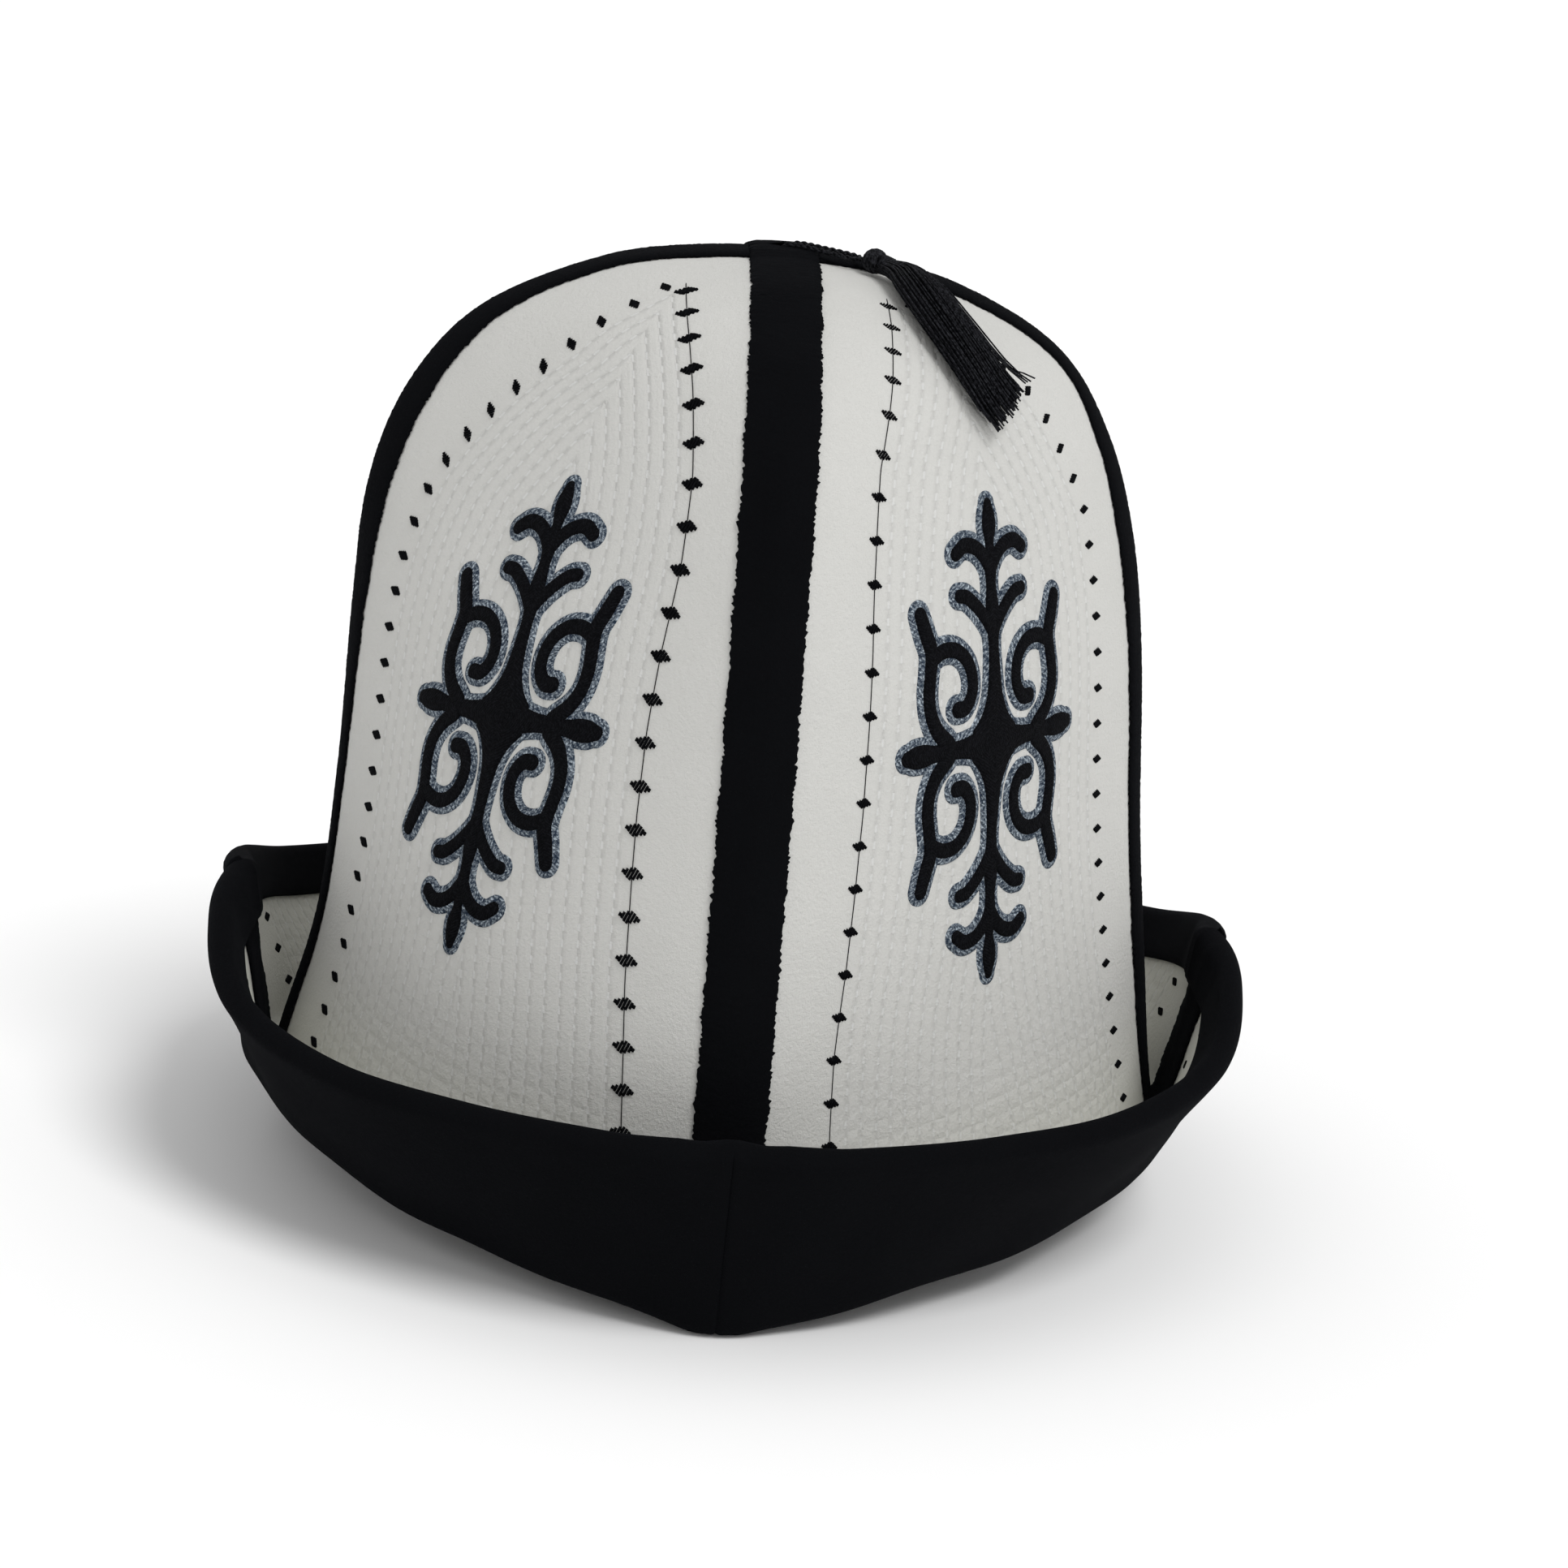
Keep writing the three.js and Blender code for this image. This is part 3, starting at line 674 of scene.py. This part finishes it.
# %% [markdown]
# ## The four felt panels
# Each panel is one piece of felt from the apex to the rim of the brim. A bmesh grid is
# laid out flat, and each of its points is then put on the map of its quarter, so that
# rows of faces run with the quilting. Solidify gives the cloth its thickness, towards
# the wearer.

# %% Lay grids of faces on points that are already in place
def new_sheet(label):
    """An empty bmesh with an attribute, which has to be there before anything is made."""
    sheet = bmesh.new()
    sheet.verts.layers.float_vector.new(label)
    return sheet


def lay(sheet, points, label="", values=None):
    """A grid whose rows and columns take their places from an array of points."""
    rows, columns = points.shape[:2]
    made = bmesh.ops.create_grid(sheet, x_segments=columns - 1, y_segments=rows - 1, size=1)
    order = sorted(made["verts"], key=lambda v: (round(v.co.y, 6), round(v.co.x, 6)))
    for vertex, place in zip(order, points.reshape(-1, 3)):
        vertex.co = place * MM
    if label:
        layer = sheet.verts.layers.float_vector[label]
        for vertex, value in zip(order, values.reshape(-1, 3)):
            vertex[layer] = value


def to_mesh(sheet, name, material):
    mesh = bpy.data.meshes.new(name)
    sheet.to_mesh(mesh)
    sheet.free()
    mesh.materials.append(material)
    return mesh


def face_out(sheet):
    """Turn an open sheet over if its faces look in at the middle of the hat."""
    sheet.normal_update()
    centre = Vector((0, 0, 0.06))
    looks = sum(f.normal.dot(f.calc_center_median() - centre) for f in sheet.faces)
    if looks < 0:
        bmesh.ops.reverse_faces(sheet, faces=sheet.faces)


def thicken(piece, thickness):
    solid = piece.modifiers.new("cloth", "SOLIDIFY")
    solid.thickness = thickness * MM
    solid.offset = -1
    solid.use_even_offset = False


# %% Panels
ROWS_DOWN = 190
SHARES_ACROSS = np.linspace(0, 1, POINTS_ACROSS)
for name, chart in maps.items():
    rows = row_at(chart, np.linspace(0, chart["down"][-1], ROWS_DOWN))
    total, start, end = (
        np.interp(rows, EVERY_ROW, chart[key])[:, None] for key in ("total", "start", "end")
    )
    edge = GAP / 2
    along = edge + (total - 2 * edge) * SHARES_ACROSS
    grid_rows = np.broadcast_to(rows[:, None], along.shape)
    angle, part = on_map(chart, grid_rows.ravel(), along.ravel())
    angle, part = angle.reshape(along.shape), part.reshape(along.shape)
    inset = np.minimum(along - start, total - along - end)
    down = np.interp(grid_rows, EVERY_ROW, chart["down"])
    fold = np.interp(1, PART_ROWS, chart["down"])
    places = off_face(angle, part, np.zeros(along.shape), VELVET + GAP)
    sheet = new_sheet("cloth")
    lay(sheet, places, "cloth", np.stack([inset, down, fold - down], -1))
    face_out(sheet)
    title = "felt_" + name
    piece = add(title, to_mesh(sheet, title, felt), "panel_" + name)
    thicken(piece, FELT)

# %% [markdown]
# ## The velvet tapes
# A strip of velvet covers each seam. It was cut, not hemmed, so its edges are frayed
# into short teeth. The front and back strips run full width to the apex and lie over
# the ends of the side strips. Each is a grid as wide as the tape, crowned a little in
# the middle and thinner at its edges.

# %% Where a point lies on the crown, seen from above
def from_above(x, y):
    """Angles and parts of the crown's points that have these places seen from above."""
    low, high = np.zeros(np.shape(x)), np.full(np.shape(x), 0.6)
    for _ in range(40):
        middle = (low + high) / 2
        width, depth, bend = half_section(x < 0, middle)
        size = (np.abs(x) / np.maximum(width, 1e-6)) ** bend
        size = size + (np.abs(y) / np.maximum(depth, 1e-6)) ** bend
        low, high = np.where(size > 1, middle, low), np.where(size > 1, high, middle)
    width, depth, bend = half_section(x < 0, low)
    side = np.clip(np.abs(x) / np.maximum(width, 1e-6), 0, 1) ** (bend / 2)
    fore = np.clip(np.abs(y) / np.maximum(depth, 1e-6), 0, 1) ** (bend / 2)
    angle = np.degrees(np.arctan2(np.sign(x) * side, -np.sign(y) * fore))
    return angle, low / level_at(valley_height(angle))


def beside_seam(seam, distance, part):
    """The angle that lies a distance beside a seam, measured square to the seam."""
    level = level_at(valley_height(float(seam))) * np.minimum(part, 1)
    by_side = seam % 180 != 0
    left_half = np.sin(np.radians(seam + np.sign(distance))) < 0
    width, depth, bend = half_section(left_half, level)
    reach = depth if by_side else width
    turned = np.arcsin(np.minimum(np.abs(distance) / reach, 1) ** (bend / 2))
    return seam + np.sign(distance) * np.degrees(turned)


# %% The top of a tape
NEAR_APEX, NARROWING, NOTCH = 38, 9, 2.6
CORNERS = {0: (1, -1), 90: (1, 1), 180: (-1, 1), 270: (-1, -1)}


def tape_top(seam, run, parts, signed):
    """Angles and parts near the apex, where a tape's rows are laid out from above."""
    over = seam % 180 == 0
    reach = smooth(CROWN["depth" if over else "right"], level_at(valley_height(0.0)) * parts)
    reach = np.minimum(reach * (HALF_DEPTH if over else HALF_WIDTH), run)
    wide = np.maximum(reach, NARROWING)[:, None]
    curved = (1 - np.minimum(np.abs(signed) / wide, 1) ** 1.7) ** 0.6
    blend = np.clip((reach - NARROWING) / 26, 0, 1)[:, None]
    far = reach[:, None] * (1 - blend + blend * curved)
    clear = np.sqrt(np.maximum(NOTCH ** 2 - signed ** 2, 0)) if over else 0
    far = np.maximum(far, np.maximum(clear, 0.25))
    right, back = CORNERS[seam]
    x, y = (right * signed, back * far) if over else (right * far, back * signed)
    angle, part = from_above(x, y)
    return np.where(np.abs(angle - seam) > 180, angle + 360, angle), part


# %% Tapes
fray = np.random.default_rng(7)
FRAY, TAPE_ROWS = 0.2, 620
COLUMNS = np.array([-1, -0.97, -0.9, -0.75, -0.5, -0.25, 0, 0.25, 0.5, 0.75, 0.9, 0.97, 1])
CROWNED = (1 - np.abs(COLUMNS) ** 5) ** 0.5
chart_at = {chart["first"]: chart for chart in maps.values()}
for name, seam in (("front", 0), ("right", 90), ("back", 180), ("left", 270)):
    over = seam % 180 == 0
    seam_line = chart_at[seam]["place"][:, 0]
    gone = np.linalg.norm(seam_line[0, :2]) + gone_along(seam_line)
    last = np.interp(3 - HEM + TUCK, PART_ROWS, gone)
    run = np.linspace(0.3 if over else 5.6, last, TAPE_ROWS)
    parts = np.interp(run, gone, PART_ROWS)
    edges = TAPE_WIDTH / 2 + fray.normal(0, FRAY, (TAPE_ROWS, 2))
    edges = edges + 0.12 * np.sin(run[:, None] / np.array([3.1, 2.3]))
    signed = np.where(COLUMNS < 0, edges[:, :1], edges[:, 1:]) * COLUMNS
    angle = beside_seam(seam, signed, parts[:, None])
    part = np.broadcast_to(parts[:, None], angle.shape).copy()
    near = run < NEAR_APEX
    angle[near], part[near] = tape_top(seam, run[near], parts[near], signed[near])
    height = GAP * 0.8 + (TAPE - 0.2) * CROWNED + 0 * signed
    if over:
        height = height + 0.9 * np.clip((11 - run) / 4, 0, 1)[:, None]
    height = height + fray.normal(0, 0.03, height.shape)
    sheet = bmesh.new()
    lay(sheet, off_face(angle, part, height, 0.05))
    face_out(sheet)
    title = "velvet_tape_" + name
    piece = add(title, to_mesh(sheet, title, velvet), "tape_" + name)
    thicken(piece, 0.3)

# %% [markdown]
# ## The velvet facing of the brim
# The outside of the turned-up brim is faced with velvet. It starts a little way inside
# the head opening, goes round the fold and up the brim, and comes over the rim as a
# hem that hides the ends of the tapes. One closed ring of faces follows that path. The
# ring is pinched along its four seams, and its free edge is rolled down to the felt.

# %% Facing: the angles round the ring, and what each seam does to it
TAPE_EDGE = float(beside_seam(0, np.array(TAPE_WIDTH / 2), np.array(2.0)))
RIM_RADIUS = FELT / 2 + GAP + VELVET
near_seam = np.array([0, 0.25, 0.5, 0.8, 1.2, 1.8, 2.6])
quarter = np.concatenate([near_seam, np.linspace(3.5, 86.5, 100), 90 - near_seam[:0:-1]])
ring = np.concatenate([quarter + first for first in (0, 90, 180, 270)] + [[360]])
around = np.radians(ring)
brim_height = BRIM * smooth(BRIM_ROWS["height"], quarter_share(ring))
from_seam = np.abs(ring - 90 * np.round(ring / 90))
over_tape = (TAPE + GAP) * np.clip((1.9 - from_seam / TAPE_EDGE) / 0.9, 0, 1)
pinch = 0.45 * np.exp(-(from_seam / 0.45) ** 2)
print("points round the ring", len(ring))

# %% Facing: the layers from the head opening, round the fold and over the rim
layers = []
for part in [1 - INSIDE_STRIP / HEIGHT, *np.linspace(1, 2, 12), *np.linspace(2, 3, 22)[1:]]:
    slack = 0.22 * math.sin(math.pi * min(max(part - 1, 0) / 2, 1))
    folds = slack * (np.sin(9 * around + 6 * part) + np.sin(17 * around - 4 * part))
    layers.append((part + 0 * ring, -FELT - GAP - VELVET + pinch + folds))
for turned in np.radians(np.linspace(0, 180, 10)):
    lift = over_tape / 2
    away = -FELT / 2 + lift - (RIM_RADIUS + lift - pinch) * math.cos(turned)
    layers.append((3 + RIM_RADIUS * math.sin(turned) / brim_height, away))
for share, flat in ((0.1, 0), (0.3, 0), (0.5, 0), (0.7, 0), (0.85, 0.08), (0.95, 0.3), (1, 0.75)):
    layers.append((3 - HEM * share + 0 * ring, over_tape + GAP + VELVET - flat - pinch))
parts = np.array([layer[0] for layer in layers])
away = np.array([layer[1] for layer in layers])

sheet = bmesh.new()
lay(sheet, off_face(np.broadcast_to(np.mod(ring, 360), parts.shape), parts, away))
bmesh.ops.remove_doubles(sheet, verts=sheet.verts, dist=2e-5)
sheet.normal_update()
if sum(f.normal.z for f in sheet.faces if f.calc_center_median().z < 0.03) > 0:
    bmesh.ops.reverse_faces(sheet, faces=sheet.faces)
mesh = to_mesh(sheet, "velvet_facing", velvet)
facing = add("velvet_facing", mesh, *["facing_" + name for name in QUARTERS])
thicken(facing, VELVET * 0.8)

# %% [markdown]
# ## The embroidered ornament
# Each panel carries one ornament of horns and scrolls, the same above and below and
# left and right. It is sewn in two steps: a heavy black filling, and a chain of loops
# round it in blue-grey. Here each stroke is a ribbon with a crowned back that follows
# the map of the panel. A wider, lower grey ribbon lies under every black one, so the
# grey shows as one outline round the whole figure, as it does on cloth.

# %% Strokes of one quarter of the ornament: across, up and half-width in millimetres
STROKES = {
    "stem": [
        (0, 0, 6.4), (0, 2, 7.8), (0, 3, 7.4), (0, 4, 6.2), (0, 5.5, 4.9), (0, 7.5, 3.7),
        (0, 10, 2.7), (0, 13, 2.2), (0, 16, 1.9), (0, 21, 1.7),
        (0, 25, 2.3), (0, 29, 2.2), (0, 33, 1.6), (0, 37, 2.0), (0, 39.5, 1.8),
        (0, 42, 1.4), (0, 45, 2.2), (0, 48, 2.0), (0, 50.2, 1.2),
    ],
    "arm": [
        (0, 0, 5.0), (3, 0, 4.2), (6.5, 0, 3.0), (10, 0, 2.2), (15, 0, 1.9), (19, 0, 1.9),
        (22, 0, 2.5), (25.4, 0, 2.3), (26.8, 0, 1.7),
    ],
    "curl": [
        (0.3, 36.5, 1.6), (2.4, 39.6, 1.7), (5.2, 41.5, 1.7), (8.2, 41.9, 1.7), (10.8, 40.4, 1.6),
    ],
    "leaf": [
        (0.3, 23.5, 1.6), (2.6, 26.6, 1.6), (5.4, 29.4, 1.6), (8.2, 31.3, 1.6), (10.2, 31.6, 1.5),
    ],
    "horn": [
        (22.2, 28.6, 1.8), (20.9, 24.8, 2.0), (19.5, 20.8, 2.0), (20.0, 16.6, 1.8),
        (20.6, 12.5, 1.8), (20.2, 8.4, 1.8), (18.2, 4.6, 1.9), (14.6, 1.4, 2.0),
    ],
    "scroll": [
        (19.0, 19.4, 1.6), (15.8, 20.8, 1.7), (11.9, 20.5, 1.7), (8.7, 18.0, 1.7),
        (7.3, 14.3, 1.7), (7.7, 10.8, 1.7), (9.8, 8.4, 1.8), (12.0, 8.3, 1.8),
    ],
}

# Where each ornament was sewn: the height of its middle, how far aside, and how its
# upright and its arms lean.
SEWN = {"left": (111.8, 0.5, 0.09, 0.17), "right": (115.1, -0.5, -0.01, -0.06)}
CAP = 6
ACROSS_RIBBON = np.array([-1, -0.92, -0.7, -0.36, 0, 0.36, 0.7, 0.92, 1])


def ribbon_places(stroke, extra, low, high):
    """The grid of points of one stroke, wider by extra, from a low edge to a high crown."""
    line = through(np.array(stroke), 44)
    middle, half = line[:, :2], line[:, 2] + extra
    tangent = np.gradient(middle, axis=0)
    tangent /= np.linalg.norm(tangent, axis=1, keepdims=True)
    caps = []
    for end, sign in ((0, -1), (-1, 1)):
        beyond = np.sin(np.linspace(0, 1, CAP + 1)[1:] * math.pi / 2) * half[end]
        width = np.sqrt(np.maximum(half[end] ** 2 - beyond ** 2, 0.0004))
        centres = middle[end] + sign * tangent[end] * beyond[:, None]
        caps.append((centres, width, np.tile(tangent[end], (CAP, 1))))
    middle = np.vstack([caps[0][0][::-1], middle, caps[1][0]])
    half = np.concatenate([caps[0][1][::-1], half, caps[1][1]])
    tangent = np.vstack([caps[0][2], tangent, caps[1][2]])
    normal = np.stack([-tangent[:, 1], tangent[:, 0]], -1)
    aside = half[:, None] * ACROSS_RIBBON
    spots = middle[:, None] + normal[:, None] * aside[..., None]
    crowned = np.sqrt(1 - ACROSS_RIBBON ** 4) * np.clip(half / np.median(half), 0, 1)[:, None]
    gone = np.broadcast_to(gone_along(middle)[:, None], crowned.shape)
    return spots, low + (high - low) * crowned, np.stack([gone, aside, crowned], -1)


def on_panel(name, spots, heights):
    """Points of a flat drawing, across and up from the ornament's middle, on a panel."""
    chart = maps[name]
    place, half = name.split("_")
    height, aside, lean, climb = SEWN[half]
    across = (spots[..., 0] + aside + lean * spots[..., 1]) * (1 if place == "front" else -1)
    up = spots[..., 1] + climb * spots[..., 0]
    centre_row = np.interp(-height, -chart["place"][:100, MIDDLE, 2], EVERY_ROW[:100])
    row = row_at(chart, (np.interp(centre_row, EVERY_ROW, chart["down"]) - up).ravel())
    along = np.interp(row, EVERY_ROW, chart["arc"][:, MIDDLE]) + across.ravel()
    angle, part = on_map(chart, row, along)
    return off_face(angle, part, heights.ravel()).reshape(*heights.shape, 3)


# %% Sew the ornament on each panel: the outline first, then the filling on it
OUTLINE, FILLING = (grey_chain, 1.5, -0.1, 0.55), (black_stitch, 0, 0.35, 0.95)
for name, chart in maps.items():
    outwards = Vector(white_face(chart["first"] + 45.0, 0.6) * (1, 1, 0))
    for finish, extra, low, high in (OUTLINE, FILLING):
        sheet = new_sheet("strand")
        for label, stroke in STROKES.items():
            spots, heights, marks = ribbon_places(stroke, extra, low, high)
            for sideways in ((1,) if label == "stem" else (1, -1)):
                for upright in ((1,) if label == "arm" else (1, -1)):
                    turned = spots * (sideways, upright)
                    lay(sheet, on_panel(name, turned, heights), "strand", marks)
        sheet.normal_update()
        wrong = [f for f in sheet.faces if f.normal.dot(outwards) < 0]
        bmesh.ops.reverse_faces(sheet, faces=wrong)
        title = finish.name + "_" + name
        piece = add(title, to_mesh(sheet, title, finish))

# %% [markdown]
# ## The border of black stitches
# Two lines of small black diamonds frame each panel, one beside each seam. They meet in
# a corner near the apex and go on over the valley and up the brim. Each diamond is a
# few slanted threads, and beside the front and back tapes a thin thread runs from one
# to the next. One diamond is made once and copied to each place along the line.

# %% One diamond of slanted threads
THREADS_ACROSS = (
    (-1.9, 0.7), (-1.3, 1.4), (-0.65, 2.2), (0, 2.7), (0.65, 2.2), (1.3, 1.4), (1.9, 0.7),
)
THREAD_WIDTH, THREAD_HEIGHT, SLANT = 0.58, 0.36, math.radians(-28)
diamond = bmesh.new()
for aside, long in THREADS_ACROSS:
    made = bmesh.ops.create_cube(diamond, size=1)["verts"]
    bmesh.ops.scale(diamond, verts=made, vec=(THREAD_WIDTH, long, THREAD_HEIGHT))
    ends = [v for v in made if v.co.z > 0]
    bmesh.ops.scale(diamond, verts=ends, vec=(0.45, 0.75, 1))
    bmesh.ops.rotate(diamond, verts=made, matrix=Matrix.Rotation(SLANT, 3, "Z"))
    bmesh.ops.translate(diamond, verts=made, vec=(aside, -aside * 0.18, 0.12))
diamond_mesh = bpy.data.meshes.new("diamond")
diamond.to_mesh(diamond_mesh)
diamond.free()
print("faces in a diamond", len(diamond_mesh.polygons))


# %% Copies of the diamond along a line
def copy_diamonds(sheet, angle, part, line, pitch, size):
    """A diamond at every pitch along a line, turned with the line and with the cloth."""
    gone, every = gone_along(line), np.arange(len(line))
    for stop in np.arange(pitch * 0.4, gone[-1], pitch):
        k = np.interp(stop, gone, every)
        a, p = np.interp(k, every, angle), np.interp(k, every, part)
        normal = Vector(face_normal(a, p))
        i = int(min(k, len(line) - 2))
        forward = Vector(line[i + 1] - line[i]).normalized()
        across = forward.cross(normal).normalized()
        turned = Matrix((across, normal.cross(across), normal)).transposed().to_4x4()
        spot = Matrix.Translation(Vector(off_face(a, p, 0.05)) * MM)
        place = spot @ turned @ Matrix.Scale(MM * size, 4)
        before = len(sheet.verts)
        sheet.from_mesh(diamond_mesh)
        sheet.verts.ensure_lookup_table()
        bmesh.ops.transform(sheet, matrix=place, verts=sheet.verts[before:])


# %% Walk the border of each panel
DIAMOND_PITCH = {"front": 8.95, "side": 7.9}
DIAMOND_SIZE = {"left": {"front": 1.15, "side": 0.9}, "right": {"front": 0.87, "side": 0.78}}
RUNNING_THREAD = 0.2
last_row = np.interp(3 - HEM - 0.04, PART_ROWS, EVERY_ROW)
for name, chart in maps.items():
    sheet = bmesh.new()
    running = []
    inside = np.flatnonzero(chart["start"] + chart["end"] < chart["total"] - 2)
    rows = np.arange(inside[0], last_row, 0.5)
    for side, seam in (("start", chart["first"]), ("end", chart["first"] + 90)):
        which = "front" if seam % 180 == 0 else "side"
        along = np.interp(rows, EVERY_ROW, chart[side])
        if side == "end":
            along = np.interp(rows, EVERY_ROW, chart["total"]) - along
        angle, part = on_map(chart, rows, along)
        line = off_face(angle, part, np.full(len(rows), RUNNING_THREAD / 2))
        if which == "front":
            running.append(line)
        size = DIAMOND_SIZE[name.split("_")[1]][which]
        copy_diamonds(sheet, angle, part, line, DIAMOND_PITCH[which], size)
    sheet.from_mesh(threads("running_thread", running, RUNNING_THREAD, 0))
    title = "border_stitches_" + name
    piece = add(title, to_mesh(sheet, title, black_stitch))

# %% [markdown]
# ## The tassel
# The knot is a ball of windings, and the threads hang from it as a bundle that lies
# down the shoulder of the crown. Three hundred threads are each given their own place
# in the bundle and their own length, and a few stray ones lift away at the end. A hair
# system could do it, but a few points a thread keep full control of the shape.

# %% Threads of the tassel
SPREAD = [0.5, 4.0, 5.8, 6.4, 6.6, 6.6, 6.4]
THICK = [0.6, 2.2, 2.8, 2.8, 2.6, 2.3, 2.0]
SWING, CURL = 3.2, 2.2
SILK_COUNT, SILK_THREAD, SILK_POINTS = 300, 0.44, 18
spin = np.random.default_rng(11)


def tassel_line(aside, high, reach, stray=0.0, lifted=0.0):
    """One thread: its place in the bundle from -1 to 1, and how far down it ends."""
    down = np.linspace(0.0, reach, SILK_POINTS)
    angle, level = smooth(TASSEL_ANGLES, down), smooth(TASSEL_LEVELS, down)
    thick = smooth(THICK, down)
    settle = np.clip(down * 3, 0, 1)
    lift = (1 - settle) * (KNOT + GAP) + settle * (0.6 + thick)
    lift = lift + thick * high + lifted * down ** 3
    middle = over_crown(angle, level, lift)
    outwards = over_crown(angle, level, lift + 1) - middle
    sideways = np.cross(np.gradient(middle, axis=0), outwards)
    sideways /= np.linalg.norm(sideways, axis=1, keepdims=True)
    wander = np.cumsum(spin.normal(0, 0.08, SILK_POINTS)) * down
    offset = smooth(SPREAD, down) * aside + stray * down ** 4 + wander
    offset = offset - SWING * np.clip(down * 4, 0, 1) - CURL * down ** 4
    return middle + sideways * offset[:, None]


lines = []
for _ in range(SILK_COUNT):
    size, turned = math.sqrt(spin.uniform()), spin.uniform(0, 2 * math.pi)
    reach = spin.triangular(0.82, 0.92, 0.945)
    lines.append(tassel_line(size * math.cos(turned), size * math.sin(turned), reach))
for aside, reach, stray, lifted in (
    (-0.9, 0.9, -1.5, 1.0), (-0.75, 0.93, -6.5, 1.0), (-1.05, 0.84, -2.0, 2.0),
    (-0.95, 0.92, -3.5, 1.0), (-0.6, 0.88, -5.5, 3.0), (1.0, 0.92, 1.0, 0.5),
):
    lines.append(tassel_line(aside, 0.3, reach, stray, lifted))
tassel = add("tassel_threads", threads("tassel_threads", lines, SILK_THREAD, 0), "tassel")
tassel.data.materials.append(silk)

# %% Knot: a ball of windings and a bound neck
start = tassel_line(0, 0, 1.0)
axis = start[2] - start[0]
axis /= np.linalg.norm(axis)
one = np.cross(axis, [0, 0, 1])
one /= np.linalg.norm(one)
two = np.cross(axis, one)
BALL, CORE, WINDING_THREAD = 2.35, 2.2, 0.9


def winding(axis, one, two, turns, low, high, radius_at, tilt):
    turned = np.linspace(0, 2 * math.pi * turns, int(turns * 16))
    along = np.linspace(low, high, len(turned)) + tilt * np.sin(turned)
    radius = radius_at(along)[:, None]
    circle = np.cos(turned)[:, None] * one + np.sin(turned)[:, None] * two
    return knot_at + axis * along[:, None] + circle * radius


def ball(along):
    return np.sqrt(np.maximum(BALL ** 2 - along ** 2, 0.2))


def neck(along):
    return 1.9 - 0.05 * along


wraps = [
    winding(axis, one, two, 6, -2.1, 2.1, ball, 0.25),
    winding(one, axis, two, 6, -2.1, 2.1, ball, 0.25),
    winding(axis, two, one, 5, 2.0, 4.6, neck, 0.1),
]
sheet = bmesh.new()
bmesh.ops.create_uvsphere(sheet, u_segments=20, v_segments=12, radius=CORE * MM)
bmesh.ops.translate(sheet, verts=sheet.verts, vec=Vector(knot_at * MM))
sheet.from_mesh(threads("windings", wraps, WINDING_THREAD, 2))
knot = add("tassel_knot", to_mesh(sheet, "tassel_knot", silk), "tassel")

# %% [markdown]
# ## The studio
# The hat stands on a wide pale floor under soft light: an even sky, and a broad window
# high on the right that gives the tassel its shadow. The window shines on all of the
# floor alike, so the floor stays white out to the edges of the picture.

# %% Floor and light
SKY, WINDOW = 0.7, 1.6
floor_mesh = bpy.data.meshes.new("floor")
sheet = bmesh.new()
bmesh.ops.create_grid(sheet, x_segments=1, y_segments=1, size=60)
sheet.to_mesh(floor_mesh)
sheet.free()
floor = bpy.data.objects.new("floor", floor_mesh)
scene.collection.objects.link(floor)
paper, tree, shader = new_material("paper", 0.9)
shader.inputs["Base Color"].default_value = (0.96, 0.96, 0.96, 1)
floor_mesh.materials.append(paper)

world = bpy.data.worlds.new("sky")
world.use_nodes = True
world.node_tree.nodes["Background"].inputs["Color"].default_value = (1, 1, 1, 1)
world.node_tree.nodes["Background"].inputs["Strength"].default_value = SKY
scene.world = world

sun = bpy.data.lights.new("window", "SUN")
sun.energy, sun.angle = WINDOW, math.radians(25)
window = bpy.data.objects.new("window", sun)
window.rotation_euler = Vector((-0.5, 0.6, -1.1)).to_track_quat("-Z", "Y").to_euler()
scene.collection.objects.link(window)
scene.view_settings.view_transform = "Standard"
print("sky", SKY, "window", WINDOW)
